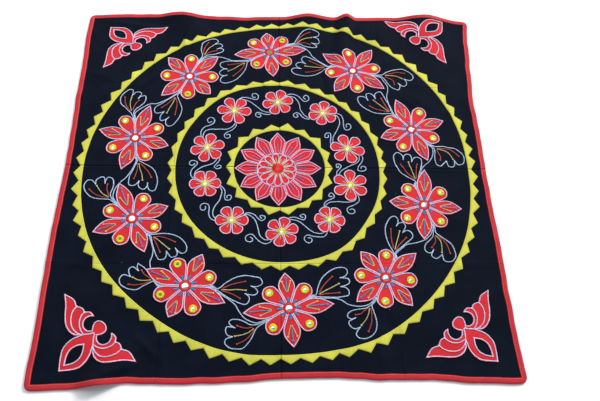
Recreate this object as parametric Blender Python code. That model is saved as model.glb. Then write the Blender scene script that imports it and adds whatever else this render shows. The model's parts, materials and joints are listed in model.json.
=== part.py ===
"""An applique wall tapestry spread out on the ground, as solids.

One square cloth carries rings, flowers and corner ornaments cut from other
cloth, round mirrors, and a folded tape that binds its four edges. The cloth is
flat but for some low folds along its edges. Every piece lies on the one below
it, so all of them are stamped from copies of the same sheet.
"""

import math
import random
from collections import namedtuple

import bmesh
import bpy
from mathutils import Matrix, Vector

MM = 0.001


def table(columns, *rows):
    """Rows of numbers under named columns."""
    row_type = namedtuple("Row", columns)
    return [row_type(*row) for row in rows]


# Driving dimensions
SIDE = 1145 * MM
HALF = SIDE / 2
CLOTH_THICKNESS = 1.5 * MM
PATCH_THICKNESS = 1.0 * MM
MIRROR_THICKNESS = 1.0 * MM
TAPE_THICKNESS = 1.0 * MM
TAPE_WIDTH = 14 * MM
GAP = 0.3 * MM

# Near its edge the cloth rises off the ground by the tape folded under it
BORDER_WIDTH = 16 * MM
RAMP_WIDTH = 20 * MM
BORDER_LINE = HALF - BORDER_WIDTH
RAMP_LINE = BORDER_LINE - RAMP_WIDTH
CLOTH_EDGE = HALF - TAPE_THICKNESS - GAP
EDGE_LIFT = TAPE_THICKNESS + GAP

# Heights of the undersides of the three layers, where the cloth lies flat
PATCH_LEVEL = CLOTH_THICKNESS + GAP
MIRROR_LEVEL = PATCH_LEVEL + PATCH_THICKNESS + GAP

# The edges wander out or in by these amounts, which die away towards the middle
WANDER_REACH = 200 * MM
EDGE_WANDER = table(
    "station top right bottom left",
    (-572, -22, 4, 26, 5),
    (-458, -14, 0, 22, 3),
    (-344, -12, -1, 10, 5),
    (-229, -14, 0, 13, 6),
    (-114, -17, -2, 10, 4),
    (0, -12, -2, 2, 1),
    (114, -8, 1, 0, 2),
    (229, -9, -1, 6, 5),
    (344, -5, 7, 7, 4),
    (458, -6, 15, 15, 8),
    (572, -16, 25, 18, 6),
)

# Low folds: each runs from the cloth's edge inwards and sinks to nothing, in mm
FOLDS = table(
    "start_x start_y end_x end_y rise half_width",
    (-302, 572, -264, 420, 15, 82),
    (92, 572, 60, 410, 15, 78),
    (215, 572, 155, 240, 18, 36),
    (455, 572, 430, 400, 20, 92),
    (-425, -572, -320, -460, 13, 46),
)

# Distances between the sheet's grid lines, closest where the folds are, in mm
GRID_X = table(
    "start end step",
    (-536.5, -360, 22),
    (-360, -220, 20),
    (-220, 7, 75),
    (7, 140, 22),
    (140, 265, 12.5),
    (265, 536.5, 27),
)
GRID_Y = table(
    "start end step",
    (-536.5, -440, 20),
    (-440, 200, 71),
    (200, 400, 50),
    (400, 536.5, 23),
)

# Sawtooth rings, sizes in mm
RINGS = table(
    "name inner valley tip teeth uneven",
    ("ring_outer", 524, 8.5, 23.5, 72, 2.0),
    ("ring_middle", 281, 10, 22, 39, 1.5),
    ("ring_inner", 124, 9, 24, 18, 4.0),
)
# How far a tooth leans, as a share of its width, and the inner edge's step in degrees
TOOTH_LEAN = 0.08
RING_STEP = 5
# How far a ring is sewn off its circle, hour by hour from twelve o'clock, in mm
RING_WANDER = {
    "ring_outer": (-5, 12, 9, -2, 3, 7, -6, -4, 3, 0, -8, -8),
    "ring_middle": (4, -4, -6, -8, -3, 7, 1, 0, 1, 0, 2, 9),
    "ring_inner": (0,) * 12,
}

# Large flowers: place, turn, the reach of the round petals and of the four pointed ones
LARGE_FLOWERS = table(
    "x y turn round_reach outward clockwise inward anticlockwise",
    (-28, 414, -3, 80, 84, 113, 97, 108),
    (221, 346, 4, 85, 108, 114, 101, 112),
    (376, 133, 1, 85, 103, 113, 97, 114),
    (385, -114, -10, 81, 103, 104, 95, 114),
    (264, -324, 0, 80, 97, 102, 95, 110),
    (21, -404, -3, 80, 98, 114, 95, 112),
    (-233, -346, -10, 80, 88, 110, 95, 110),
    (-380, -160, 0, 81, 103, 117, 98, 105),
    (-397, 92, 2, 85, 106, 118, 97, 108),
    (-262, 314, -4, 85, 99, 114, 93, 108),
)
LARGE_NOTCH = 48

# Small flowers: place, turn and the reach of their six round petals
SMALL_FLOWERS = table(
    "x y turn reach",
    (-4, 223, 18, 45),
    (125, 187, 36, 43),
    (189, 64, 31, 49),
    (190, -54, 15, 49),
    (130, -160, 15, 41),
    (5, -196, 14, 44),
    (-125, -163, -7, 44),
    (-199, -53, 13, 43),
    (-198, 63, 26, 48),
    (-128, 191, 8, 49),
)
SMALL_NOTCH = 22
SMALL_PETALS = 6

CENTRE_FLOWER = (-4, -2)
CENTRE_TURN = 116
CENTRE_PETALS = 12
CENTRE_REACH = 119
CENTRE_NOTCH = 88

# Half width of a petal on the way from its notch to its tip, in mm
PROFILE = "way half_width"
POINTED_PROFILE = table(PROFILE, (0.2, 21.0), (0.45, 19.5), (0.72, 12.0), (1.0, 0.0))
ROUND_PROFILE = table(PROFILE, (0.3, 20.5), (0.6, 20.5), (0.88, 12.5), (1.0, 2.5))
SMALL_PROFILE = table(PROFILE, (0.25, 13.8), (0.6, 16.0), (0.88, 10.5), (1.0, 3.5))
CENTRE_PROFILE = table(PROFILE, (0.3, 18.5), (0.62, 10.5), (1.0, 0.0))

# Right half of a corner ornament, its leaf's tip towards the corner, in mm
ORNAMENT = "across inwards"
BULB = table(ORNAMENT, (0, 48), (9, 46.5), (16, 41), (18, 34), (15, 25), (9.5, 18))
HOOK = table(ORNAMENT, (16, 12), (26, 11), (35, 16), (39, 25), (36, 35), (28, 43))
LOBES = table(
    ORNAMENT,
    (38, 45), (47, 43), (53, 36), (62, 39), (71, 37), (77, 33), (95, 40), (124, 35),
)
WING = table(ORNAMENT, (100, 17), (79, -3), (63, -14), (44, -18), (29, -14), (22, -7))
LEAF = table(ORNAMENT, (29, -20), (32, -38), (27, -56), (0, -85))
EYE = table(ORNAMENT, (0, -16), (9, -27), (13, -40), (9.5, -53), (0, -66))
ORNAMENT_REACH = 460
# Which corner, how far the ornament is sewn off its place, and its turn
CORNERS = table(
    "name side_x side_y across inwards turn",
    ("top_left", -1, 1, 0, 14, 1),
    ("top_right", 1, 1, 35, -11, 0),
    ("bottom_right", 1, -1, -7, 0, 2),
    ("bottom_left", -1, -1, 18, 0, -4),
)

BIG_MIRROR_RADIUS = 8.5 * MM
SMALL_MIRROR_RADIUS = 4.6 * MM
MIRROR_SIDES = 10

# Cutters are vertical prisms that pass through every fold
CUTTER_BOTTOM = -5 * MM
CUTTER_HEIGHT = 45 * MM
FLAT_ANGLE = math.radians(0.005)


def clear_scene():
    for thing in list(bpy.data.objects):
        bpy.data.objects.remove(thing, do_unlink=True)


def make_collection(name):
    collection = bpy.data.collections.new(name)
    bpy.context.scene.collection.children.link(collection)
    return collection


def make_material(name, colour, roughness, metallic=0.0):
    material = bpy.data.materials.new(name)
    material.use_nodes = True
    shader = material.node_tree.nodes["Principled BSDF"]
    shader.inputs["Base Color"].default_value = (*colour, 1.0)
    shader.inputs["Roughness"].default_value = roughness
    shader.inputs["Metallic"].default_value = metallic
    material.diffuse_color = (*colour, 1.0)
    return material


def clamp(value, low, high):
    return max(low, min(high, value))


def ease(t):
    """Smooth step from 0 to 1."""
    t = clamp(t, 0.0, 1.0)
    return t * t * (3 - 2 * t)


def wander(side, along):
    """How far an edge lies out of line at a place along it."""
    for low, high in zip(EDGE_WANDER, EDGE_WANDER[1:]):
        if along <= high.station * MM:
            break
    way = ease((along / MM - low.station) / (high.station - low.station))
    start = getattr(low, side)
    return (start + (getattr(high, side) - start) * way) * MM


def fade(distance):
    """Share of an edge's wander that is left at a distance from that edge."""
    return (1 - clamp(distance / WANDER_REACH, 0.0, 1.0)) ** 2


def fold_rise(x, y):
    """Height of the folds over a point of the cloth."""
    total = 0.0
    for fold in FOLDS:
        start = Vector((fold.start_x, fold.start_y)) * MM
        run = Vector((fold.end_x, fold.end_y)) * MM - start
        offset = Vector((x, y)) - start
        way = offset.dot(run) / run.length_squared
        across = abs(offset.cross(run)) / run.length / (fold.half_width * MM)
        if across < 1 and way < 1:
            crest = math.cos(math.pi / 2 * across) ** 2
            total += fold.rise * MM * (1 - ease(way)) * crest
    return total


def lie(x, y):
    """Where a point of the flat square lies: x, y and the cloth's rise there.

    Past the border line nothing changes across the edge, so the cloth and the
    tape round it bend together.
    """
    inner_x = clamp(x, -BORDER_LINE, BORDER_LINE)
    inner_y = clamp(y, -BORDER_LINE, BORDER_LINE)
    shift_x = wander("right", inner_y) * fade(BORDER_LINE - inner_x)
    shift_x -= wander("left", inner_y) * fade(BORDER_LINE + inner_x)
    shift_y = wander("top", inner_x) * fade(BORDER_LINE - inner_y)
    shift_y -= wander("bottom", inner_x) * fade(BORDER_LINE + inner_y)
    return x + shift_x, y + shift_y, fold_rise(inner_x, inner_y)


def edge_lift(x, y):
    """How far the tape's lower leg holds the cloth up at a point."""
    distance = max(abs(x), abs(y)) - RAMP_LINE
    return EDGE_LIFT * clamp(distance / RAMP_WIDTH, 0.0, 1.0)


def grid_lines(stretches):
    """Grid lines across the sheet, between the two border lines."""
    lines = []
    for row in stretches:
        length = row.end - row.start
        count = round(length / row.step)
        lines += [(row.start + length * i / count) * MM for i in range(count)]
    return [-BORDER_LINE] + lines + [RAMP_LINE, BORDER_LINE]


def finish_mesh(bm, name, material):
    """Turn a bmesh with consistent outward faces into a mesh."""
    bmesh.ops.recalc_face_normals(bm, faces=bm.faces)
    mesh = bpy.data.meshes.new(name)
    bm.to_mesh(mesh)
    bm.free()
    if material:
        mesh.materials.append(material)
    return mesh


def raise_copy(bm, height):
    """Extrude every face straight up."""
    result = bmesh.ops.extrude_face_region(bm, geom=bm.faces[:])
    lifted = [item for item in result["geom"] if isinstance(item, bmesh.types.BMVert)]
    bmesh.ops.translate(bm, verts=lifted, vec=(0, 0, height))


def layer_mesh(name, level, thickness, material):
    """A whole sheet that follows the folds, with its underside at a level."""
    lines_x = [-CLOTH_EDGE] + grid_lines(GRID_X) + [CLOTH_EDGE]
    lines_y = [-CLOTH_EDGE] + grid_lines(GRID_Y) + [CLOTH_EDGE]
    cells_x = len(lines_x) - 1
    cells_y = len(lines_y) - 1
    bm = bmesh.new()
    bmesh.ops.create_grid(bm, x_segments=cells_x, y_segments=cells_y, size=0.5)
    for vert in bm.verts:
        x = lines_x[round((vert.co.x + 0.5) * cells_x)]
        y = lines_y[round((vert.co.y + 0.5) * cells_y)]
        place_x, place_y, rise = lie(x, y)
        vert.co = (place_x, place_y, rise + edge_lift(x, y) + level)
    bmesh.ops.triangulate(bm, faces=bm.faces, quad_method="FIXED")
    raise_copy(bm, thickness)
    return finish_mesh(bm, name, material)


def add_object(name, mesh, collection):
    thing = bpy.data.objects.new(name, mesh)
    collection.objects.link(thing)
    return thing


def prism(name, outline, collection):
    """A cutter: a vertical prism over an outline of the flat cloth."""
    bm = bmesh.new()
    verts = []
    for x, y in outline:
        place_x, place_y, _ = lie(x, y)
        verts.append(bm.verts.new((place_x, place_y, CUTTER_BOTTOM)))
    bm.faces.new(verts)
    raise_copy(bm, CUTTER_HEIGHT)
    cutter = add_object(name, finish_mesh(bm, name, None), collection)
    cutter.hide_render = True
    cutter.display_type = "WIRE"
    return cutter


def boolean(thing, cutter, operation):
    modifier = thing.modifiers.new(operation.lower(), "BOOLEAN")
    modifier.object = cutter
    modifier.operation = operation
    modifier.solver = "EXACT"


def merge_flat_faces(thing):
    """Dissolve the grid wherever the sheet is flat."""
    modifier = thing.modifiers.new("merge_flat", "DECIMATE")
    modifier.decimate_type = "DISSOLVE"
    modifier.angle_limit = FLAT_ANGLE
    modifier = thing.modifiers.new("triangles", "TRIANGULATE")
    modifier.quad_method = "BEAUTY"
    modifier.ngon_method = "BEAUTY"


def stamp(name, outline, layer, parts, cutters, hole=None):
    """One piece cut from a layer by its outline, with or without a hole."""
    piece = add_object(name, layer, parts)
    boolean(piece, prism(name + "_outline", outline, cutters), "INTERSECT")
    if hole:
        boolean(piece, prism(name + "_hole", hole, cutters), "DIFFERENCE")
    merge_flat_faces(piece)
    return piece


def by_clock(radius, clock):
    """A point at a radius and a clock angle, in degrees from twelve o'clock."""
    angle = math.radians(clock)
    return radius * math.sin(angle), radius * math.cos(angle)


def ring_offset(name, clock):
    """How far a ring is sewn off its circle at a clock angle, in mm."""
    hour = clock / 30 % 12
    before = RING_WANDER[name][int(hour)]
    after = RING_WANDER[name][(int(hour) + 1) % 12]
    return before + (after - before) * ease(hour % 1)


def ring_outlines(ring):
    """The sawtooth outline of a ring and its round inner edge."""
    rng = random.Random(ring.name)
    step = 360 / ring.teeth
    outline = []
    for tooth in range(ring.teeth):
        clock = tooth * step
        peak = clock + step * (0.5 + rng.uniform(-TOOTH_LEAN, TOOTH_LEAN))
        low = ring.inner + ring.valley + ring_offset(ring.name, clock)
        high = ring.inner + ring.tip + ring_offset(ring.name, peak)
        high += rng.uniform(-ring.uneven, ring.uneven)
        outline.append(by_clock(low * MM, clock))
        outline.append(by_clock(high * MM, peak))
    hole = []
    sides = ring.teeth * max(1, round(step / RING_STEP))
    for i in range(sides):
        clock = 360 * i / sides
        hole.append(by_clock((ring.inner + ring_offset(ring.name, clock)) * MM, clock))
    return outline, hole


def flower_outline(place, turn, petals, notch):
    """Petals round a centre, the first one outwards; each is (reach, profile)."""
    centre = Vector(place) * MM
    outward = math.degrees(math.atan2(place[0], place[1]))
    half_step = 180 / len(petals)
    start = notch * math.cos(math.radians(half_step))
    outline = []
    for index, (reach, profile) in enumerate(petals):
        clock = outward + turn + index * half_step * 2
        rising = [(start + (reach - start) * way, -width) for way, width in profile]
        falling = [(forward, -across) for forward, across in reversed(rising) if across]
        along = Vector(by_clock(MM, clock))
        side = Vector(by_clock(MM, clock + 90))
        outline += [centre + along * f + side * s for f, s in rising + falling]
        outline.append(centre + Vector(by_clock(notch * MM, clock + half_step)))
    return [tuple(point) for point in outline]


def large_petals(flower):
    petals = []
    for reach in (flower.outward, flower.clockwise, flower.inward, flower.anticlockwise):
        petals.append((reach, POINTED_PROFILE))
        petals.append((flower.round_reach, ROUND_PROFILE))
    return petals


def circle(x, y, radius):
    turns = [math.tau * i / MIRROR_SIDES for i in range(MIRROR_SIDES)]
    return [(x * MM + radius * math.cos(t), y * MM + radius * math.sin(t)) for t in turns]


def ornament_points(half, corner):
    """Mirror half an outline and set it into a corner, its bulb towards the middle."""
    points = half + [(-across, inwards) for across, inwards in reversed(half) if across]
    up = Vector((-corner.side_x, -corner.side_y)).normalized()
    right = Vector((up.y, -up.x))
    home = Vector((corner.side_x, corner.side_y)) * ORNAMENT_REACH
    home += right * corner.across + up * corner.inwards
    spin = Matrix.Rotation(math.radians(-corner.turn), 2)
    placed = []
    for point in points:
        across, inwards = spin @ Vector(point)
        placed.append(tuple((home + right * across + up * inwards) * MM))
    return placed


def binding_strip(name, side, material, parts):
    """Tape folded over one edge, with mitred ends; side counts clockwise from the top."""
    cloth_room = CLOTH_THICKNESS + 2 * GAP
    upper = TAPE_THICKNESS + cloth_room
    section = (
        (0, 0), (TAPE_WIDTH, 0), (TAPE_WIDTH, TAPE_THICKNESS), (TAPE_THICKNESS, TAPE_THICKNESS),
        (TAPE_THICKNESS, upper), (TAPE_WIDTH, upper),
        (TAPE_WIDTH, upper + TAPE_THICKNESS), (0, upper + TAPE_THICKNESS),
    )
    lines = grid_lines(GRID_X if side % 2 == 0 else GRID_Y)
    if side in (1, 2):
        lines = [-line for line in reversed(lines)]
    mitre_gap = GAP / math.sqrt(2)
    turn = Matrix.Rotation(-side * math.pi / 2, 2)
    bm = bmesh.new()
    rows = []
    for station in [None] + lines + [None]:
        row = []
        for inward, height in section:
            along = station
            if station is None:
                along = (HALF - inward - mitre_gap) * (1 if rows else -1)
            flat = turn @ Vector((along, HALF - inward))
            x, y, rise = lie(flat.x, flat.y)
            row.append(bm.verts.new((x, y, rise + height)))
        rows.append(row)
    count = len(section)
    for row, following in zip(rows, rows[1:]):
        for i in range(count):
            j = (i + 1) % count
            bm.faces.new((row[i], row[j], following[j], following[i]))
    bm.faces.new(rows[0])
    bm.faces.new(rows[-1])
    thing = add_object(name, finish_mesh(bm, name, material), parts)
    merge_flat_faces(thing)


def build():
    clear_scene()
    parts = make_collection("applique_wall_tapestry")
    cutters = make_collection("cutters")

    black = make_material("black_cotton", (0.008, 0.010, 0.018), 0.9)
    red = make_material("red_cotton", (0.70, 0.045, 0.055), 0.85)
    yellow = make_material("yellow_cotton", (0.68, 0.62, 0.10), 0.85)
    tape_red = make_material("red_tape", (0.58, 0.035, 0.055), 0.85)
    glass = make_material("mirror_glass", (0.75, 0.85, 0.9), 0.08, 1.0)

    ground = layer_mesh("ground_cloth", 0.0, CLOTH_THICKNESS, black)
    merge_flat_faces(add_object("ground_cloth", ground, parts))
    red_layer = layer_mesh("red_layer", PATCH_LEVEL, PATCH_THICKNESS, red)
    yellow_layer = layer_mesh("yellow_layer", PATCH_LEVEL, PATCH_THICKNESS, yellow)
    mirror_layer = layer_mesh("mirror_layer", MIRROR_LEVEL, MIRROR_THICKNESS, glass)

    for side, word in enumerate(("top", "right", "bottom", "left")):
        binding_strip("binding_" + word, side, tape_red, parts)

    for ring in RINGS:
        outline, hole = ring_outlines(ring)
        stamp(ring.name, outline, yellow_layer, parts, cutters, hole)

    for number, flower in enumerate(LARGE_FLOWERS, 1):
        place = (flower.x, flower.y)
        outline = flower_outline(place, flower.turn, large_petals(flower), LARGE_NOTCH)
        stamp(f"large_flower_{number:02d}", outline, red_layer, parts, cutters)
        mirror = circle(*place, BIG_MIRROR_RADIUS)
        stamp(f"large_mirror_{number:02d}", mirror, mirror_layer, parts, cutters)

    for number, flower in enumerate(SMALL_FLOWERS, 1):
        place = (flower.x, flower.y)
        petals = [(flower.reach, SMALL_PROFILE)] * SMALL_PETALS
        outline = flower_outline(place, flower.turn, petals, SMALL_NOTCH)
        stamp(f"small_flower_{number:02d}", outline, red_layer, parts, cutters)
        mirror = circle(*place, SMALL_MIRROR_RADIUS)
        stamp(f"small_mirror_{number:02d}", mirror, mirror_layer, parts, cutters)

    petals = [(CENTRE_REACH, CENTRE_PROFILE)] * CENTRE_PETALS
    outline = flower_outline(CENTRE_FLOWER, CENTRE_TURN, petals, CENTRE_NOTCH)
    stamp("centre_flower", outline, red_layer, parts, cutters)
    mirror = circle(*CENTRE_FLOWER, SMALL_MIRROR_RADIUS)
    stamp("centre_mirror", mirror, mirror_layer, parts, cutters)

    for corner in CORNERS:
        outline = ornament_points(BULB + HOOK + LOBES + WING + LEAF, corner)
        eye = ornament_points(EYE, corner)
        stamp("corner_" + corner.name, outline, red_layer, parts, cutters, eye)


build()
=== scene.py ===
"""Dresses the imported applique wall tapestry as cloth, thread and glass.

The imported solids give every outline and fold. The cloth, the patches sewn on it and
the tape round it become fine sheets on the same folds. Chain stitch, thread rings,
mirrors and sewing go on top of them.
"""

import json
import math
import random
from collections import namedtuple
from functools import lru_cache

import bmesh
import bpy
import numpy as np
from bpy.props import FloatProperty, FloatVectorProperty, IntProperty, PointerProperty
from bpy.types import Operator, Panel, PropertyGroup
from mathutils import Matrix, Vector, noise
from mathutils.bvhtree import BVHTree
from mathutils.geometry import delaunay_2d_cdt, interpolate_bezier

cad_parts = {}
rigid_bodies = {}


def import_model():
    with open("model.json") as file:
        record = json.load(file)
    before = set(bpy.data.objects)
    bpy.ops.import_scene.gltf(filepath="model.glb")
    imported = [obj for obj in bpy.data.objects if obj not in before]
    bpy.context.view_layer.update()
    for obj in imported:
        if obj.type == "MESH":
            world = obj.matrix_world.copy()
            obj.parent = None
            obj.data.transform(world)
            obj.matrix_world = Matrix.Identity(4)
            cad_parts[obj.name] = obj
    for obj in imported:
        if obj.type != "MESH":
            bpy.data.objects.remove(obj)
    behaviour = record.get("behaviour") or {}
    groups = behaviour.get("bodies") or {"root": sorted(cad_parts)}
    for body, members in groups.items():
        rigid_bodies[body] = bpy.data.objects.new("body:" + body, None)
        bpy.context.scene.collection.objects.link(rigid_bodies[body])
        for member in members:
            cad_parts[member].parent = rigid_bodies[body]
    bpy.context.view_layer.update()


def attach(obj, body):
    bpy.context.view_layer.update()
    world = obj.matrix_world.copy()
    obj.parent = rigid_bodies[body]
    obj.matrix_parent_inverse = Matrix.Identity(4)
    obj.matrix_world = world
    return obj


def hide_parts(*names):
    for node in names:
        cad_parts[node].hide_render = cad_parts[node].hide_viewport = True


bl_info = {
    "name": "Applique Wall Tapestry",
    "version": (1, 0, 0),
    "blender": (4, 5, 0),
    "location": "View3D > Sidebar > Tapestry",
    "description": "Sews a mirror-work applique tapestry over its packed solids",
    "category": "Add Mesh",
}

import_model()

MM = 0.001
BODY = "root"
COLLECTION = "applique_wall_tapestry"


def table(columns, *rows):
    """Rows of values under named columns."""
    row_type = namedtuple("Row", columns)
    return [row_type(*row) for row in rows]


# The cloth's size and heights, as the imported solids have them
SIDE = 1145 * MM
HALF = SIDE / 2
CLOTH_THICKNESS = 1.5 * MM
TAPE_ROOM = 1.3 * MM
TAPE_WIDTH = 14 * MM
BORDER_LINE = HALF - 16 * MM
RAMP_WIDTH = 20 * MM
RAMP_LINE = BORDER_LINE - RAMP_WIDTH
CLOTH_EDGE = HALF - TAPE_ROOM

# How far the edges wander out or in, in mm, dying away towards the middle
WANDER_REACH = 200 * MM
EDGE_WANDER = table(
    "station top right bottom left",
    (-572, -22, 4, 26, 5),
    (-458, -14, 0, 22, 3),
    (-344, -12, -1, 10, 5),
    (-229, -14, 0, 13, 6),
    (-114, -17, -2, 10, 4),
    (0, -12, -2, 2, 1),
    (114, -8, 1, 0, 2),
    (229, -9, -1, 6, 5),
    (344, -5, 7, 7, 4),
    (458, -6, 15, 15, 8),
    (572, -16, 25, 18, 6),
)

# The fine tremble of a sewn edge, and how far the corners are drawn in
TREMBLE = 1.6 * MM
TREMBLE_SCALE = 42 * MM
CORNER_REACH = 18 * MM
CORNER_DRAW = 5 * MM

# Low folds that run from the cloth's edge inwards, in mm
FOLDS = table(
    "start_x start_y end_x end_y rise half_width",
    (-302, 572, -264, 420, 15, 82),
    (92, 572, 60, 410, 15, 78),
    (215, 572, 155, 240, 18, 36),
    (455, 572, 430, 400, 20, 92),
    (-425, -572, -320, -460, 13, 46),
)

# Creases left by folding the cloth away, and small ridges between the folds, in mm
CREASES = table(
    "start_x start_y end_x end_y rise half_width",
    (2, -566, -3, -290, 2.6, 9),
    (-3, -330, 2, 60, 1.2, 8),
    (4, 90, 0, 420, 2.0, 9),
    (150, 6, 562, -4, 2.6, 9),
    (-560, 3, -180, -2, 1.8, 9),
    (-480, -575, -300, -522, 5.5, 16),
    (-365, -450, -265, -535, 3.6, 13),
    (-284, -440, -268, -566, 2.4, 10),
    (-485, -285, -405, -190, 3.0, 12),
    (-430, -295, -360, -220, 2.6, 11),
    (-568, -285, -450, -291, 2.4, 10),
    (430, -289, 566, -287, 2.2, 10),
    (-262, 568, -296, 365, 5.0, 14),
    (216, 566, 226, 462, 5.0, 13),
    (130, 385, 158, 225, 4.4, 13),
    (-36, 380, -46, 220, 2.6, 10),
    (-430, 245, -296, 372, 3.0, 13),
    (-250, 172, -172, 276, 3.0, 12),
    (-262, -118, -304, -205, 4.6, 14),
    (-215, -273, -62, -286, 2.6, 10),
    (-58, -365, -26, -298, 2.4, 11),
    (252, -390, 232, -562, 2.0, 10),
    (195, -230, 158, -302, 2.6, 12),
    (-66, -530, -42, -452, 2.4, 11),
    (-372, -115, -354, -10, 2.4, 12),
    (-318, -75, -313, 12, 2.2, 10),
    (-530, 545, -330, 500, 3.0, 15),
    (-314, 24, -266, 122, 2.8, 12),
    (338, 260, 418, 200, 2.2, 12),
    (-565, 330, -470, 300, 2.2, 14),
    (520, 250, 470, 120, 2.0, 16),
    (330, 560, 300, 430, 3.0, 18),
)
RIPPLE_SCALE = 95 * MM
RIPPLE_RISE = 0.9 * MM

# Sawtooth rings, in mm, with their wander hour by hour from twelve o'clock
RINGS = table(
    "name inner valley tip teeth uneven",
    ("ring_outer", 524, 8.5, 23.5, 72, 2.0),
    ("ring_middle", 281, 10, 22, 39, 1.5),
    ("ring_inner", 124, 9, 24, 18, 4.0),
)
TOOTH_LEAN = 0.08
RING_WANDER = {
    "ring_outer": (-5, 12, 9, -2, 3, 7, -6, -4, 3, 0, -8, -8),
    "ring_middle": (4, -4, -6, -8, -3, 7, 1, 0, 1, 0, 2, 9),
    "ring_inner": (0,) * 12,
}

# Large flowers: place, turn, reach of the round petals and of the four pointed ones, in mm
LARGE_FLOWERS = table(
    "x y turn round_reach outward clockwise inward anticlockwise",
    (-28, 414, -3, 80, 84, 113, 97, 108),
    (221, 346, 4, 85, 108, 114, 101, 112),
    (376, 133, 1, 85, 103, 113, 97, 114),
    (385, -114, -10, 81, 103, 104, 95, 114),
    (264, -324, 0, 80, 97, 102, 95, 110),
    (21, -404, -3, 80, 98, 114, 95, 112),
    (-233, -346, -10, 80, 88, 110, 95, 110),
    (-380, -160, 0, 81, 103, 117, 98, 105),
    (-397, 92, 2, 85, 106, 118, 97, 108),
    (-262, 314, -4, 85, 99, 114, 93, 108),
)
LARGE_NOTCH = 48
LARGE_PETALS = 8

# Small flowers: place, turn and reach, in mm
SMALL_FLOWERS = table(
    "x y turn reach",
    (-4, 223, 18, 45),
    (125, 187, 36, 43),
    (189, 64, 31, 49),
    (190, -54, 15, 49),
    (130, -160, 15, 41),
    (5, -196, 14, 44),
    (-125, -163, -7, 44),
    (-199, -53, 13, 43),
    (-198, 63, 26, 48),
    (-128, 191, 8, 49),
)
SMALL_NOTCH = 22
SMALL_PETALS = 6

# The centre flower and its medallion, in mm. The medallion's petals grow from a point this
# share of the way from the flower's middle to the medallion's.
CENTRE_FLOWER = Vector((-4, -2))
CENTRE_TURN = 116
CENTRE_PETALS = 12
CENTRE_REACH = 119
CENTRE_NOTCH = 88
MEDALLION_SHIFT = Vector((-4, -6))
MEDALLION_RADIUS = 53
MEDALLION_CLEARANCE = 2
MEDALLION_ROOT = 0.3

# Half width of a petal on the way from its notch to its tip, in mm
PROFILE = "way half_width"
POINTED_PROFILE = table(PROFILE, (0.2, 21.0), (0.45, 19.5), (0.72, 12.0), (1.0, 0.0))
ROUND_PROFILE = table(PROFILE, (0.3, 20.5), (0.6, 20.5), (0.88, 12.5), (1.0, 2.5))
SMALL_PROFILE = table(PROFILE, (0.25, 13.8), (0.6, 16.0), (0.88, 10.5), (1.0, 3.5))
CENTRE_PROFILE = table(PROFILE, (0.3, 18.5), (0.62, 10.5), (1.0, 0.0))

# Right half of a corner ornament, its leaf's tip towards the corner: across and inwards, in mm
BULB = ((0, 48), (9, 46.5), (16, 41), (18, 34), (15, 25), (9.5, 18))
HOOK = ((16, 12), (26, 11), (35, 16), (39, 25), (36, 35), (28, 43))
LOBES = (
    ((28, 43), (38, 45), (47, 43), (53, 36)),
    ((53, 36), (62, 39), (71, 37), (77, 33)),
    ((77, 33), (95, 40), (124, 35)),
)
WING = ((124, 35), (100, 17), (79, -3), (63, -14), (44, -18), (29, -14), (22, -7))
LEAF = ((22, -7), (29, -20), (32, -38), (27, -56), (0, -85))
EYE = ((0, -16), (9, -27), (13, -40), (9.5, -53), (0, -66))
FEATHER_LINES = (
    ((53, 36), (52, 24), (44, 11), (32, 3), (16, -1)),
    ((77, 33), (75, 19), (65, 4), (50, -6), (34, -8), (18, -4)),
)
CHEVRON = ((-15, 1), (-7, 9), (0, 17), (7, 9), (15, 1))
ORNAMENT_REACH = 460
CORNERS = table(
    "name side_x side_y across inwards turn",
    ("top_left", -1, 1, 0, 14, 1),
    ("top_right", 1, 1, 35, -11, 0),
    ("bottom_right", 1, -1, -7, 0, 2),
    ("bottom_left", -1, -1, 18, 0, -4),
)

# A patch's mesh, in mm: depths of the two rows of points that round its turned edge, how
# far its grid stays from that edge and how far apart the points along a sawtooth edge are.
# The grid's rows are this share of a cell apart.
EDGE_ROWS = (0.7, 1.7)
GRID_MARGIN = 3.2
TOOTH_STEP = 4.5
GRID_ROW = 0.87
# How far from its edge a patch starts to swell, and over what width it does, in mm
PUFF_START = 2.5
PUFF_SLOPE = 8

# Embroidery from one flower to the next: along the arc and out from the middle, in mm.
# The lines that grow from a petal notch leave that notch itself out.
LARGE_ARC = 410
LARGE_GAP = 250
OUTER_LEAF = (
    ((67, 455), (71, 468), (75, 484), (81, 501), (90, 514), (102, 521), (113, 520), (122, 513),
     (124, 501), (112, 490)),
    ((112, 490), (122, 488), (129, 480), (127, 469), (112, 465)),
    ((70, 449), (82, 450), (95, 446), (110, 443), (122, 446), (127, 455), (121, 463), (112, 465)),
)
OUTER_FILAMENTS = (
    ("rust", ((73, 460), (79, 476), (88, 493), (101, 507))),
    ("tan", ((75, 458), (84, 470), (95, 480), (108, 487))),
    ("rust", ((78, 456), (88, 459), (98, 460), (109, 458))),
)
LARGE_VINE = (
    (70, 445), (84, 442), (99, 435), (113, 424), (124, 411), (137, 401), (156, 394), (178, 389),
)
INNER_LEAF = (
    ((178, 386), (150, 393), (130, 399), (114, 404), (102, 403), (96, 394), (99, 384), (110, 376)),
    ((110, 376), (98, 378), (86, 376), (80, 367), (87, 358), (100, 354)),
    ((179, 381), (166, 360), (149, 341), (125, 330), (100, 327), (80, 331), (70, 340), (74, 350),
     (87, 355), (100, 354)),
)
INNER_FILAMENTS = (
    ("rust", ((169, 383), (154, 383), (137, 385), (119, 390))),
    ("tan", ((169, 380), (151, 375), (132, 370), (110, 367))),
    ("rust", ((168, 376), (156, 364), (139, 353), (118, 344))),
)
# The leaves reach this far in the tables above, and end this far inside the ring
LEAF_BASE = 455
LEAF_TOP = 521
RING_CLEARANCE = 7
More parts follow.
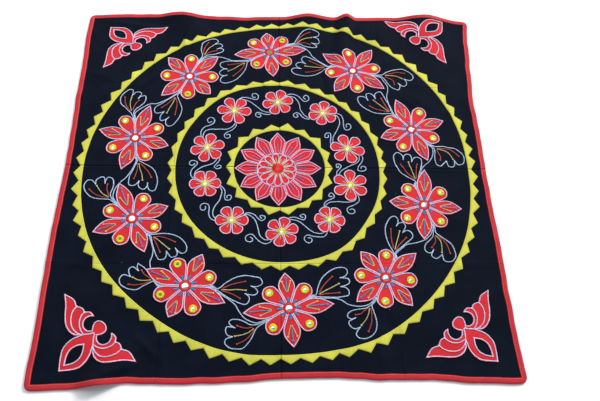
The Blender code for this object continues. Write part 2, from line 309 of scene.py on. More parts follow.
# Lines out of a petal notch: how far they start from each other's middle line, and
# the way out with its share of that distance
SPRAY_SIDES = (-2.6, 0, 2.6)
SPRAY_START = ((52, 0.4), (66, 1.0))
# How much the hand wanders
LEAF_SHAKE = 1.4
FILAMENT_SHAKE = 1.0
TENDRIL_SHAKE = 0.9

SMALL_ARC = 208
SMALL_GAP = 131
SMALL_VINES = (
    ((17, 220), (21, 229), (28, 238), (38, 242), (50, 238), (60, 230), (68, 224), (76, 225),
     (80, 234), (77, 243), (70, 246), (65, 241), (66, 235), (71, 232)),
    ((17, 220), (23, 228), (32, 232), (42, 230), (52, 221), (60, 208), (68, 193), (77, 182),
     (88, 175), (100, 172), (111, 175), (116, 184)),
    ((116, 184), (111, 171), (100, 166), (85, 167), (72, 174), (61, 178), (53, 173), (53, 165),
     (60, 160), (67, 163), (67, 169), (62, 171)),
)
TENDRIL_LOW = 156

# Mirrors and the thread rings that hold them, in mm
BIG_MIRROR = 8.5
BIG_THREAD_RING = 14.0
SMALL_MIRROR = 4.6
SMALL_THREAD_RING = 9.9
CENTRE_THREAD_RING = 16.0
PETAL_MIRROR_PLACE = 0.78
# Mirrors gone dull: the flower's number and the petal's, or 0 for the middle one
DULL_MIRRORS = {(0, 0), (1, 0), (1, 1), (1, 3), (1, 5), (7, 1), (7, 3), (8, 7), (10, 5)}
# How far the thread rings reach over the edges of their mirrors
BIG_OVERLAP = 0.3
SMALL_OVERLAP = 0.4
CENTRE_OVERLAP = 1.8
GLASS_THICKNESS = 1.0
GLASS_BEVEL = 0.35
GLASS_LIFT = 0.35
GLASS_SIDES = 28

# Stitches on a petal: out from the flower's middle, and to each side, in mm.
# An outline starts at the root radius.
LARGE_ROOT = 15
LARGE_DASH = (17, 22, 28)
LARGE_VEIN = (46, 60)
VEIN_END = 0.83
LARGE_TAN_LINE = ((43, 1.5), (56, 6), (71, 11))
SMALL_ROOT = 8.5
SMALL_TAN_LINE = (11, 16, 23)
CENTRE_ROOT = 46
CENTRE_PINK_LINE = ((46, 4.5), (62, 7.5), (80, 9.5), (92, 8.5), (107, 0))
CENTRE_BLUE_LINE = range(48, 79, 3)
MEDALLION_PETAL = ((18, 3.2), (31, 6.8), (42, 8.9), (48, 6.4), (50, 2.5))
MEDALLION_PETAL_END = 50
RAY_START = 17
RAY_MIDDLE = 6
RAY_REACH = 14
RAY_UNEVEN = 2.5
RAY_TURNS = (-7.5, 7.5)

# Size of the links in each piece of chain stitch, as a share of the full size
LINK_SHARE = {
    "large_flower_outlines": 0.92,
    "large_flower_blue_veins": 1.1,
    "large_flower_tan_lines": 0.8,
    "leaf_spray_outlines": 0.9,
    "leaf_spray_tan_lines": 0.85,
    "leaf_spray_rust_lines": 0.85,
    "small_flower_outlines": 0.92,
    "small_flower_tan_lines": 0.7,
    "small_flower_tendrils": 0.88,
    "centre_flower_outlines": 0.85,
    "centre_flower_pink_lines": 0.9,
    "centre_flower_blue_lines": 0.75,
    "centre_flower_rays": 0.75,
    "corner_outlines": 1.0,
}
KNOT_SHARE = {
    "large_flower_blue_knots": 1.0,
    "large_flower_tan_knots": 0.7,
    "leaf_spray_tan_knots": 0.65,
    "leaf_spray_rust_knots": 0.65,
}
# Width of the satin dashes, and how high satin stitch lies over the cloth, in mm
DASH_WIDTH = 4.4
DASH_LIFT = 0.4
RING_LIFT = 0.6
KNOT_LIFT = 0.7
# A chain that turns by more than this, in degrees, starts again after the corner
SHARP_CORNER = 48
# A chain link: points and degrees of its loop, how much wider it is at its front than in
# its middle, and how much higher it lies there, over the link before it
LINK_POINTS = 7
LINK_SWEEP = 324
# (the factor and the sum that a Math node takes after the way along the link)
LINK_TAPER = {1: 0.3, 2: 0.78}
LINK_LAP = {1: 0.35, 2: 0.55}
# Smallest and largest share of its full length, width and height that a stitch has
WOBBLE = ((0.9, 0.88, 0.9), (1.1, 1.12, 1.1))

# Machine stitches: how far they run from an edge, and the step of their line, in mm
SEAM_INSET = 2.2
TEETH_SEAM_INSET = 2.0
SEAM_STEP = 3
# Their colours: the tape's thread, the rings' as a share of the yellow cotton; and the lint's
TAPE_THREAD = "#D89A6C"
RING_THREAD_SHARE = 0.82
LINT = "#C9CDD6"

# Marks of the cloth folded in half and again, raised by bump and darkened with painted shade: half
# their width, the slope beside them and how much fainter the quarter marks are
MARK_WIDTH = 0.3 * MM
MARK_SLOPE = 3.5 * MM
QUARTER_FAINTER = 2.1 * MM
# Bands that a wave texture of scale 1 has in a metre
WAVE_BANDS = 20 / math.tau
# The sockets of a Mix node that take its two colours, and the one that gives the result
MIX_A, MIX_B, MIX_RESULT = 6, 7, 2

# The camera, fitted to the square's corners and the rings: place, tilt in degrees, lens in mm
CAMERA_PLACE = (-0.0429, -0.9818, 1.5387)
CAMERA_TILT = (29.79, -3.12, 0.43)
CAMERA_LENS = 40.14
CAMERA_SENSOR = 36.0

# Soft square lights: place, target, side in metres and watts
LIGHTS = table(
    "name place target size power",
    ("sky_panel", (-0.5, 2.15, 2.2), (0, 0.2, 0), 4.4, 84),
    ("side_panel", (6, 6, 4.4), (0, 0, 0), 2.5, 1060),
)
SKY_COLOUR = (0.88, 0.95, 1.0, 1.0)
SKY_STRENGTH = 0.38
FLOOR_SIZE = 15
FLOOR_DROP = 0.3 * MM


def linear(hex_colour):
    """An sRGB hex colour as linear red, green and blue."""
    parts = [int(hex_colour[i:i + 2], 16) / 255 for i in (1, 3, 5)]
    return [c / 12.92 if c <= 0.04045 else ((c + 0.055) / 1.055) ** 2.4 for c in parts]


def length(name, description, millimetres):
    return FloatProperty(
        name=name,
        description=description,
        default=millimetres * MM,
        min=0.0,
        precision=5,
        unit="LENGTH",
        subtype="DISTANCE",
    )


def colour(name, description, hex_colour):
    return FloatVectorProperty(
        name=name,
        description=description,
        default=linear(hex_colour),
        size=3,
        min=0.0,
        max=1.0,
        subtype="COLOR",
    )


class ClothSizes(PropertyGroup):
    """The sheets: ground cloth, patches and tape."""

    cell: length("Cloth Cell", "Width of a cell of the ground cloth's mesh", 6.4)
    patch_cell: length("Patch Cell", "Width of a cell of a patch's mesh", 7.0)
    patch_edge: length("Patch Edge", "Height of a patch's turned edge over the cloth", 0.5)
    patch_top: length("Patch Top", "Height of a patch inside its edge", 1.0)
    patch_puff: length("Patch Puff", "How much a patch swells between its stitches", 0.35)
    patch_cotton: length("Patch Cotton", "Thickness of the patch cotton", 0.4)
    tape_cotton: length("Tape Cotton", "Thickness of the folded tape", 0.7)
    tape_station: length("Tape Station", "Distance between the tape's cross sections", 6.0)


class StitchSizes(PropertyGroup):
    """Chain stitch, sewing and the thread rings."""

    chain_pitch: length("Chain Pitch", "Distance from one chain link to the next", 4.4)
    link_length: length("Link Length", "Length of one chain link", 5.6)
    link_width: length("Link Width", "Width of one chain link", 3.3)
    floss: length("Floss", "Thickness of the embroidery floss", 1.4)
    sewing_pitch: length("Sewing Pitch", "Distance between machine stitches", 4.2)
    sewing_length: length("Sewing Length", "Length of one machine stitch", 3.1)
    sewing_thread: length("Sewing Thread", "Thickness of the sewing thread", 0.55)
    ring_pitch: length("Ring Pitch", "Distance between the stitches of a thread ring", 1.3)
    inset: length("Inset", "Distance from a patch's edge to its chain stitch", 1.9)
    draw_back: length("Draw Back", "How far a line of chain stitch ends before a corner", 1.6)
    knot: length("Knot", "Width of the satin block that ends a line", 4.2)
    seed: IntProperty(
        name="Seed", description="Seed of the small unevenness of the hand", default=7
    )


class ClothColours(PropertyGroup):
    """Colours of the cottons and the glass."""

    ground: colour("Ground", "Blue-black ground cloth", "#0A111E")
    red: colour("Red", "Red applique cotton", "#CB2630")
    yellow: colour("Yellow", "Lemon applique cotton", "#C9C64C")
    tape: colour("Tape", "Red binding tape", "#BC2934")
    # The glass's sky blue is a painted reflection of the sky; the lights are nearly white
    glass: colour("Glass", "Silvered glass", "#C4E4FA")
    dull_glass: colour("Dull Glass", "Mirror glass gone dull", "#6E7A58")
    floor: colour("Floor", "Pale floor", "#FCFCFC")


class ThreadColours(PropertyGroup):
    """Colours of the embroidery floss."""

    sky: colour("Sky", "Bluish white floss on the ground cloth", "#C6DDFF")
    blush: colour("Blush", "Pinkish white floss on the red flowers", "#E6DFFF")
    pink: colour("Pink", "Pink floss inside the centre flower's petals", "#EE9CC8")
    blue: colour("Blue", "Blue floss", "#118CC4")
    tan: colour("Tan", "Straw-coloured floss", "#DCCB84")
    rust: colour("Rust", "Rust floss", "#CE4C34")
    lemon: colour("Lemon", "Yellow floss of the thread rings", "#DEDC18")
    scarlet: colour("Scarlet", "Scarlet floss of the big thread rings", "#E4241C")


class TapestrySettings(PropertyGroup):
    cloth: PointerProperty(type=ClothSizes)
    stitch: PointerProperty(type=StitchSizes)
    cotton: PointerProperty(type=ClothColours)
    floss: PointerProperty(type=ThreadColours)


def settings():
    return bpy.context.scene.tapestry


def clamp(value, low, high):
    return max(low, min(high, value))


def ease(t):
    """Smooth step from 0 to 1."""
    t = clamp(t, 0.0, 1.0)
    return t * t * (3 - 2 * t)


def wander(side, along):
    """How far an edge lies out of line at a place along it."""
    for low, high in zip(EDGE_WANDER, EDGE_WANDER[1:]):
        if along <= high.station * MM:
            break
    way = ease((along / MM - low.station) / (high.station - low.station))
    start = getattr(low, side)
    tremble = noise.noise(Vector((along / TREMBLE_SCALE, len(side), 0))) * TREMBLE
    return (start + (getattr(high, side) - start) * way) * MM + tremble


def fade(distance):
    """Share of an edge's wander that is left at a distance from that edge."""
    return (1 - clamp(distance / WANDER_REACH, 0.0, 1.0)) ** 2


def along_and_across(row, x, y):
    """A point's way along a fold or crease, and its distance from it in half widths."""
    run_x = (row.end_x - row.start_x) * MM
    run_y = (row.end_y - row.start_y) * MM
    off_x = x - row.start_x * MM
    off_y = y - row.start_y * MM
    squared = run_x * run_x + run_y * run_y
    across = abs(off_x * run_y - off_y * run_x) / math.sqrt(squared)
    return (off_x * run_x + off_y * run_y) / squared, across / (row.half_width * MM)


def fold_rise(x, y):
    """Height of the folds over a point of the cloth."""
    total = 0.0
    for fold in FOLDS:
        way, across = along_and_across(fold, x, y)
        if across < 1 and way < 1:
            total += fold.rise * MM * (1 - ease(way)) * math.cos(math.pi / 2 * across) ** 2
    return total


def crease_rise(x, y):
    """Height of the soft creases and of the cloth's slight unevenness."""
    total = RIPPLE_RISE * (0.5 + 0.5 * noise.noise(Vector((x, y, 0)) / RIPPLE_SCALE))
    for crease in CREASES:
        way, across = along_and_across(crease, x, y)
        if across < 1 and 0 < way < 1:
            swell = math.sin(math.pi * way)
            total += crease.rise * MM * swell * math.cos(math.pi / 2 * across) ** 2
    return total


def lie(x, y):
    """Where a point of the flat square lies: x, y and the cloth's rise there."""
    inner_x = clamp(x, -BORDER_LINE, BORDER_LINE)
    inner_y = clamp(y, -BORDER_LINE, BORDER_LINE)
    shift_x = wander("right", inner_y) * fade(BORDER_LINE - inner_x)
    shift_x -= wander("left", inner_y) * fade(BORDER_LINE + inner_x)
    shift_y = wander("top", inner_x) * fade(BORDER_LINE - inner_y)
    shift_y -= wander("bottom", inner_x) * fade(BORDER_LINE + inner_y)
    near_x = clamp((abs(x) - HALF) / CORNER_REACH + 1, 0.0, 1.0)
    near_y = clamp((abs(y) - HALF) / CORNER_REACH + 1, 0.0, 1.0)
    shift_x -= math.copysign(CORNER_DRAW * near_x * near_y ** 2, x)
    shift_y -= math.copysign(CORNER_DRAW * near_y * near_x ** 2, y)
    rise = fold_rise(inner_x, inner_y) + crease_rise(inner_x, inner_y)
    return x + shift_x, y + shift_y, rise


def edge_lift(x, y):
    """How far the tape's lower leg holds the cloth up at a point."""
    return TAPE_ROOM * clamp((max(abs(x), abs(y)) - RAMP_LINE) / RAMP_WIDTH, 0.0, 1.0)


def by_clock(radius, clock):
    """A point at a radius and a clock angle, in degrees from twelve o'clock."""
    angle = math.radians(clock)
    return Vector((radius * math.sin(angle), radius * math.cos(angle)))


def clock_of(point):
    return math.degrees(math.atan2(point[0], point[1]))


def middle(flower):
    """Where a flower's middle is on the flat cloth, in mm."""
    return Vector((flower.x, flower.y))


def soft_curve(points, step=2.0):
    """A soft curve through the points, as a fine line; all in mm."""
    points = [Vector(point) for point in points]
    gaps = [(b - a).length for a, b in zip(points, points[1:])]
    slopes = [(points[1] - points[0]) / gaps[0]]
    slopes += [(c - a) / (g + h) for a, c, g, h in zip(points, points[2:], gaps, gaps[1:])]
    slopes.append((points[-1] - points[-2]) / gaps[-1])
    fine = []
    for i, gap in enumerate(gaps):
        handle = points[i] + slopes[i] * gap / 3
        other = points[i + 1] - slopes[i + 1] * gap / 3
        count = max(2, math.ceil(gap / step) + 1)
        fine += interpolate_bezier(points[i], handle, other, points[i + 1], count)[:-1]
    return fine + [points[-1]]


def straight_line(start, end, step=2.5):
    """A straight line in fine steps, without its end point; in mm."""
    count = max(1, math.ceil((end - start).length / step))
    return [start.lerp(end, i / count) for i in range(count)]


def inset(loop, distance):
    """A closed loop moved to its left by a distance, which is inwards if it runs anticlockwise."""
    moved = []
    for before, here, after in zip(loop[-1:] + loop[:-1], loop, loop[1:] + loop[:1]):
        arrive = (here - before).normalized()
        leave = (after - here).normalized()
        across = (arrive + leave).orthogonal().normalized() if (arrive + leave).length else leave
        opening = max(0.4, across.dot(leave.orthogonal()))
        moved.append(here + across * distance / opening)
    return moved


def clear_inset(loop, distance):
    """A closed loop moved inwards, without the points that come close to another edge."""
    moved = inset(loop, distance)
    depths = edge_distance(as_array(moved), [as_array(loop)])
    return [point for point, depth in zip(moved, depths) if depth > distance * 0.92]


def as_array(points):
    """Flat points as the rows of an array."""
    return np.array([tuple(point) for point in points])


def area(loop):
    """Signed area of a closed loop, above zero if it runs anticlockwise."""
    return sum(a.cross(b) for a, b in zip(loop, loop[1:] + loop[:1])) / 2


def turned(loop, anticlockwise=True):
    """The loop running anticlockwise, or clockwise."""
    return loop if (area(loop) > 0) == anticlockwise else loop[::-1]


def petal_side(reach, profile, petals, notch):
    """Points of a petal's side from the notch to the tip: forward and sideways, in mm."""
    half_step = math.pi / petals
    start = notch * math.cos(half_step)
    side = [(start, notch * math.sin(half_step))]
    return side + [(start + (reach - start) * way, width) for way, width in profile]


def petal_line(reach, profile, petals, notch):
    """A petal's outline from notch to notch: forward and sideways, in mm."""
    side = petal_side(reach, profile, petals, notch)
    left = [(forward, -across) for forward, across in side]
    if side[-1][1] == 0:
        rising = soft_curve(left)
        return rising + [Vector((p.x, -p.y)) for p in reversed(rising[:-1])]
    return soft_curve(left + side[::-1])


def petal_loop(reach, profile, petals, notch, root):
    """A petal's closed loop, with its wedge down to a root radius, run anticlockwise."""
    half_step = math.pi / petals
    corner = Vector((root * math.cos(half_step), -root * math.sin(half_step)))
    line = petal_line(reach, profile, petals, notch)
    loop = straight_line(corner, line[0]) + line
    loop += [Vector((p.x, -p.y)) for p in reversed(straight_line(corner, line[0]))]
    return turned(loop)


Petal = namedtuple("Petal", "centre clock reach profile petals notch")


def on_petal(petal, point):
    """A point of a petal, forward and sideways, on the flat cloth; in mm."""
    along = by_clock(1, petal.clock)
    side = by_clock(1, petal.clock + 90)
    return petal.centre + along * point[0] + side * point[1]


def large_flower_petals(flower):
    """Petals of a large flower, pointed and round in turn, the first one outwards."""
    centre = middle(flower)
    first = clock_of(centre) + flower.turn
    reaches = (flower.outward, flower.clockwise, flower.inward, flower.anticlockwise)
    petals = []
    for index, reach in enumerate(reaches):
        clock = first + index * 90
        petals.append(Petal(centre, clock, reach, POINTED_PROFILE, LARGE_PETALS, LARGE_NOTCH))
        petals.append(
            Petal(centre, clock + 45, flower.round_reach, ROUND_PROFILE, LARGE_PETALS, LARGE_NOTCH)
        )
    return petals


def small_flower_petals(flower):
    centre = middle(flower)
    first = clock_of(centre) + flower.turn
    return [
        Petal(centre, first + index * 60, flower.reach, SMALL_PROFILE, SMALL_PETALS, SMALL_NOTCH)
        for index in range(SMALL_PETALS)
    ]


def centre_flower_petals():
    first = clock_of(CENTRE_FLOWER) + CENTRE_TURN
    return [
        Petal(CENTRE_FLOWER, first + index * 30, CENTRE_REACH, CENTRE_PROFILE, CENTRE_PETALS,
              CENTRE_NOTCH)
        for index in range(CENTRE_PETALS)
    ]


def flower_loop(petals):
    """Outline of a whole flower, in mm."""
    loop = []
    for petal in petals:
        line = petal_line(petal.reach, petal.profile, petal.petals, petal.notch)
        loop += [on_petal(petal, point) for point in line[:-1]]
    return loop


def ring_offset(name, clock):
    """How far a ring is sewn off its circle at a clock angle, in mm."""
    hour = clock / 30 % 12
    before = RING_WANDER[name][int(hour)]
    after = RING_WANDER[name][(int(hour) + 1) % 12]
    return before + (after - before) * ease(hour % 1)


def ring_inner_edge(ring, outwards=0.0, step=5.0):
    """The round inner edge of a ring in fine steps, or a line that far outside it; in mm."""
    sides = round(math.tau * ring.inner / step)
    clocks = [360 * i / sides for i in range(sides)]
    return [by_clock(ring.inner + ring_offset(ring.name, c) + outwards, c) for c in clocks]


def ring_teeth(ring):
    """The corners of a ring's sawtooth edge, valley and tip in turn; in mm."""
    rng = random.Random(ring.name)
    step = 360 / ring.teeth
    corners = []
    for tooth in range(ring.teeth):
        clock = tooth * step
        peak = clock + step * (0.5 + rng.uniform(-TOOTH_LEAN, TOOTH_LEAN))
        low = ring.inner + ring.valley + ring_offset(ring.name, clock)
        high = ring.inner + ring.tip + ring_offset(ring.name, peak)
        high += rng.uniform(-ring.uneven, ring.uneven)
        corners += [by_clock(low, clock), by_clock(high, peak)]
    return corners


def broken_line(corners, step):
    """Straight lines round a closed loop of corners, in fine steps; in mm."""
    loop = []
    for start, end in zip(corners, corners[1:] + corners[:1]):
        loop += straight_line(start, end, step)
    return loop


def in_corner(points, corner):
    """Points of a corner ornament, across and inwards, set into their corner; in mm."""
    up = Vector((-corner.side_x, -corner.side_y)).normalized()
    right = Vector((up.y, -up.x))
    home = Vector((corner.side_x, corner.side_y)) * ORNAMENT_REACH
    home += right * corner.across + up * corner.inwards
    spin = Matrix.Rotation(math.radians(-corner.turn), 2)
    placed = []
    for point in points:
        across, inwards = spin @ Vector(point)
        placed.append(home + right * across + up * inwards)
    return placed


def mirrored(points):
    """The left half of an ornament, from its right half."""
    return [Vector((-p[0], p[1])) for p in reversed(points)]


def ornament_loop():
    """Outline of a corner ornament, across and inwards, in mm."""
    right = soft_curve(BULB)
    right += soft_curve(HOOK)
    for lobe in LOBES:
        right += soft_curve(lobe)[1:]
    right += soft_curve(WING)[1:]
    right += soft_curve(LEAF)[1:]
    return right + mirrored(right[1:-1])


def ornament_eye():
    right = soft_curve(EYE)
    return right + mirrored(right[1:-1])


def add_node(tree, kind, links=None, values=None, **props):
    """Add one node with its properties, socket values and links into its sockets."""
    node = tree.nodes.new(kind)
    for key, value in props.items():
        setattr(node, key, value)
    for key, value in (values or {}).items():
        node.inputs[key].default_value = value
    for key, source in (links or {}).items():
        tree.links.new(source, node.inputs[key])
    return node


def start_material(name, sockets):
    """A material with its shader's own values and the object's coordinates."""
    material = bpy.data.materials.new(name)
    material.use_nodes = True
    tree = material.node_tree
    shader = tree.nodes["Principled BSDF"]
    for socket, value in sockets.items():
        shader.inputs[socket].default_value = value
    place = add_node(tree, "ShaderNodeTexCoord").outputs["Object"]
    return material, tree, shader, place


def rgba(colour_value, brightness=1.0):
    return (*[min(1.0, c * brightness) for c in colour_value], 1.0)


def raise_noise(tree, shader, place, noise_values, bump_values):
    """Raise a noise on a material's surface."""
    height = add_node(tree, "ShaderNodeTexNoise", {"Vector": place}, noise_values)
    ridge = add_node(tree, "ShaderNodeBump", {"Height": height.outputs["Fac"]}, bump_values)
    tree.links.new(ridge.outputs["Normal"], shader.inputs["Normal"])


def fold_marks(tree, place):
    """Height of the sharp marks left where the cloth was folded in half and again, which also masks
    the painted shade along them.
    """
    parts = add_node(tree, "ShaderNodeSeparateXYZ", {"Vector": place})
    marks = []
    for axis in ("X", "Y"):
        half = add_node(
            tree, "ShaderNodeMath", {0: parts.outputs[axis]}, operation="ABSOLUTE"
        )
        off = add_node(
            tree, "ShaderNodeMath", {0: half.outputs[0]}, {1: SIDE / 4}, operation="SUBTRACT"
        )
        quarter = add_node(tree, "ShaderNodeMath", {0: off.outputs[0]}, operation="ABSOLUTE")
        fainter = add_node(
            tree, "ShaderNodeMath", {0: quarter.outputs[0]}, {1: QUARTER_FAINTER}, operation="ADD"
        )
        away = add_node(
            tree, "ShaderNodeMath", {0: half.outputs[0], 1: fainter.outputs[0]},
            operation="MINIMUM",
        )
        mark = add_node(
            tree, "ShaderNodeMapRange", {"Value": away.outputs[0]},
            {"From Min": MARK_WIDTH, "From Max": MARK_SLOPE, "To Min": 0.0, "To Max": 1.0},
        )
        marks.append(mark.outputs["Result"])
    both = add_node(
        tree, "ShaderNodeMath", {0: marks[0], 1: marks[1]}, operation="MULTIPLY"
    )
    return both.outputs[0]


def plain_weave(name, colour_value, thread, bump, fade_and_crease_shade, slub, shine=0.25):
    """Plain-weave cotton, matt: crossed threads with slubs, fold marks darkened with painted shade,
    rumples and fading.

    The real cotton has 20 to 24 threads a centimetre. They are drawn coarser here, at
    the thread width given, so that the weave shows.
    """
    material, tree, shader, place = start_material(
        name, {"Roughness": 0.92, "Specular IOR Level": shine, "Sheen Weight": shine * 0.12,
               "Sheen Roughness": 0.5},
    )
    bands = {
        "Scale": 1 / (2 * thread) / WAVE_BANDS, "Distortion": 0.6, "Detail": 1.0,
        "Detail Scale": 0.4,
    }
    warp = add_node(
        tree, "ShaderNodeTexWave", {"Vector": place}, bands, wave_type="BANDS",
        bands_direction="X",
    )
    weft = add_node(
        tree, "ShaderNodeTexWave", {"Vector": place}, bands, wave_type="BANDS",
        bands_direction="Y",
    )
    crossing = add_node(
        tree, "ShaderNodeMath", {0: warp.outputs["Fac"], 1: weft.outputs["Fac"]},
        operation="MULTIPLY",
    )
    fuzz = add_node(
        tree, "ShaderNodeTexNoise", {"Vector": place},
        {"Scale": 0.35 / thread, "Detail": 4.0, "Roughness": 0.7},
    )
    height = add_node(
        tree, "ShaderNodeMath", {0: crossing.outputs[0], 1: fuzz.outputs["Fac"]}, operation="ADD"
    )
    ridge = add_node(
        tree, "ShaderNodeBump", {"Height": height.outputs[0]},
        {"Strength": bump, "Distance": thread * 0.5},
    )
    marks = fold_marks(tree, place)
    mark = add_node(
        tree, "ShaderNodeBump", {"Height": marks, "Normal": ridge.outputs["Normal"]},
        {"Strength": 1.0, "Distance": 2.0 * MM},
    )
    rumples = add_node(
        tree, "ShaderNodeTexNoise", {"Vector": place},
        {"Scale": 6.0, "Detail": 2.0, "Distortion": 0.8}, noise_type="RIDGED_MULTIFRACTAL",
    )
    rumpled = add_node(
        tree, "ShaderNodeBump",
        {"Height": rumples.outputs["Fac"], "Normal": mark.outputs["Normal"]},
        {"Strength": 1.0, "Distance": 8.0 * MM},
    )
    tree.links.new(rumpled.outputs["Normal"], shader.inputs["Normal"])

    patches = add_node(
        tree, "ShaderNodeTexNoise", {"Vector": place},
        {"Scale": 14.0, "Detail": 5.0, "Roughness": 0.62},
    )
    clouds = add_node(
        tree, "ShaderNodeMapRange", {"Value": patches.outputs["Fac"]},
        {"From Min": 0.35, "From Max": 0.68},
    )
    faded = add_node(
        tree, "ShaderNodeMix", {"Factor": clouds.outputs["Result"]},
        {MIX_A: rgba(colour_value, 1 - fade_and_crease_shade), MIX_B: rgba(colour_value, 1 + fade_and_crease_shade)},
        data_type="RGBA",
    )
    streak = add_node(
        tree, "ShaderNodeMapping", {"Vector": place}, {"Scale": (900.0, 40.0, 40.0)}
    )
    threads = add_node(
        tree, "ShaderNodeTexNoise", {"Vector": streak.outputs["Vector"]},
        {"Scale": 1.0, "Detail": 2.0},
    )
    tone = add_node(
        tree, "ShaderNodeMapRange", {"Value": threads.outputs["Fac"]},
        {"From Min": 0.3, "From Max": 0.7, "To Min": 1 - slub, "To Max": 1 + slub},
    )
    # Painted shade in the fold marks: how dark a mark is painted, differing from cloud to cloud
    depth = add_node(
        tree, "ShaderNodeMapRange", {"Value": patches.outputs["Fac"]},
        {"From Min": 0.4, "From Max": 0.58, "To Min": 1 - 2 * fade_and_crease_shade, "To Max": 1.0},
    )
    # Painted shade along the fold marks: the colour falls to that darkness on a mark and keeps its
    # slub tone away from one
    crease_shade = add_node(
        tree, "ShaderNodeMapRange",
        {"Value": marks, "To Min": depth.outputs["Result"], "To Max": tone.outputs["Result"]},
    )
    slubbed_and_shaded = add_node(
        tree, "ShaderNodeVectorMath",
        {0: faded.outputs[MIX_RESULT], "Scale": crease_shade.outputs["Result"]}, operation="SCALE",
    )
    tree.links.new(slubbed_and_shaded.outputs["Vector"], shader.inputs["Base Color"])
    return material, tree, shader, place, slubbed_and_shaded.outputs["Vector"]


def ground_cotton():
    """Blue-black cotton: matt, darker with painted shade along the fold marks, with a little lint
    on it.
    """
    tone = settings().cotton.ground
    material, tree, shader, place, base = plain_weave(
        "ground_cotton", tone, 0.7 * MM, 0.35, 0.2, 0.07, shine=0.06
    )
    specks = add_node(
        tree, "ShaderNodeTexVoronoi", {"Vector": place}, {"Scale": 26.0, "Randomness": 1.0}
    )
    lint = add_node(
        tree, "ShaderNodeMapRange", {"Value": specks.outputs["Distance"]},
        {"From Min": 0.03, "From Max": 0.015, "To Min": 0.0, "To Max": 0.25},
    )
    chosen = add_node(
        tree, "ShaderNodeTexNoise", {"Vector": place}, {"Scale": 9.0, "Detail": 0.0}
    )
    sparse = add_node(
        tree, "ShaderNodeMapRange", {"Value": chosen.outputs["Fac"]},
        {"From Min": 0.58, "From Max": 0.66},
    )
    share = add_node(
        tree, "ShaderNodeMath", {0: lint.outputs["Result"], 1: sparse.outputs["Result"]},
        operation="MULTIPLY",
    )
    dusted = add_node(
        tree, "ShaderNodeMix", {"Factor": share.outputs[0], MIX_A: base},
        {MIX_B: rgba(linear(LINT))}, data_type="RGBA",
    )
    tree.links.new(dusted.outputs[MIX_RESULT], shader.inputs["Base Color"])
    return material


def red_cotton():
    """Red applique cotton: bright and matt, a little uneven in its dye, with painted shade along
    the fold marks.
    """
    return plain_weave("red_cotton", settings().cotton.red, 0.6 * MM, 0.3, 0.07, 0.06)[0]


def lemon_cotton():
    """Lemon applique cotton: thin and matt, a little uneven in its dye, with painted shade along
    the fold marks.
    """
    return plain_weave("lemon_cotton", settings().cotton.yellow, 0.6 * MM, 0.3, 0.07, 0.06)[0]


def tape_cotton():
    """Red cotton tape: the coarser weave of a cheap binding, with painted shade along the fold
    marks.
    """
    return plain_weave("tape_cotton", settings().cotton.tape, 0.8 * MM, 0.4, 0.10, 0.08)[0]


def floss(name, colour_value):
    """Mercerised cotton floss: a soft gloss, each stitch a little lighter or darker."""
    material, tree, shader, place = start_material(
        name, {"Roughness": 0.55, "Specular IOR Level": 0.3, "Sheen Weight": 0.12,
               "Sheen Roughness": 0.4},
    )
    tint = add_node(tree, "ShaderNodeAttribute", attribute_name="tint")
    tone = add_node(
        tree, "ShaderNodeMix", {"Factor": tint.outputs["Fac"]},
        {MIX_A: rgba(colour_value, 0.9), MIX_B: rgba(colour_value, 1.1)}, data_type="RGBA",
    )
    tree.links.new(tone.outputs[MIX_RESULT], shader.inputs["Base Color"])
    raise_noise(
        tree, shader, place, {"Scale": 1600.0, "Detail": 2.0},
        {"Strength": 0.35, "Distance": 0.2 * MM},
    )
    return material


def mirror_glass(name, colour_value, roughness):
    """Hand-cut silvered glass: reflects softly, because its surface is slightly wavy. The colour
    given tints all it reflects; the bright glass's sky blue is a painted reflection of the sky.
    """
    material, tree, shader, place = start_material(
        name, {"Roughness": roughness, "Metallic": 1.0}
    )
    raise_noise(
        tree, shader, place, {"Scale": 180.0, "Detail": 1.0},
        {"Strength": 0.12, "Distance": 0.5 * MM},
    )
    cloudy = add_node(
        tree, "ShaderNodeTexNoise", {"Vector": place}, {"Scale": 260.0, "Detail": 3.0}
    )
    tone = add_node(
        tree, "ShaderNodeMix", {"Factor": cloudy.outputs["Fac"]},
        {MIX_A: rgba(colour_value, 0.82), MIX_B: rgba(colour_value, 1.08)}, data_type="RGBA",
    )
    tree.links.new(tone.outputs[MIX_RESULT], shader.inputs["Base Color"])
    return material


def matt_floor():
    """Pale matt floor, with the slightest unevenness."""
    material, tree, shader, place = start_material("matt_floor", {"Roughness": 0.95})
    clouds = add_node(tree, "ShaderNodeTexNoise", {"Vector": place}, {"Scale": 1.5, "Detail": 2.0})
    pale = settings().cotton.floor
    tone = add_node(
        tree, "ShaderNodeMix", {"Factor": clouds.outputs["Fac"]},
        {MIX_A: rgba(pale, 0.985), MIX_B: rgba(pale, 1.0)}, data_type="RGBA",
    )
    tree.links.new(tone.outputs[MIX_RESULT], shader.inputs["Base Color"])
    return material


def link_piece(name, mesh, material=None):
    """A new object of the tapestry's collection."""
    collection = bpy.data.collections.get(COLLECTION)
    if collection is None:
        collection = bpy.data.collections.new(COLLECTION)
        bpy.context.scene.collection.children.link(collection)
    piece = bpy.data.objects.new(name, mesh)
    collection.objects.link(piece)
    if material:
        mesh.materials.append(material)
    return piece


def finished(name, bm, material=None, sharp=None):
    """A smooth piece from a bmesh, with its edges sharp past an angle in degrees."""
    mesh = bpy.data.meshes.new(name)
    bm.to_mesh(mesh)
    bm.free()
    mesh.shade_smooth()
    if sharp:
        mesh.set_sharp_from_angle(angle=math.radians(sharp))
    return link_piece(name, mesh, material)


def sew_on(piece, slot, *nodes):
    """Make a finished piece ride with the tapestry, in place of its nodes; its slot is not used."""
    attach(piece, BODY)
    if nodes:
        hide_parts(*nodes)


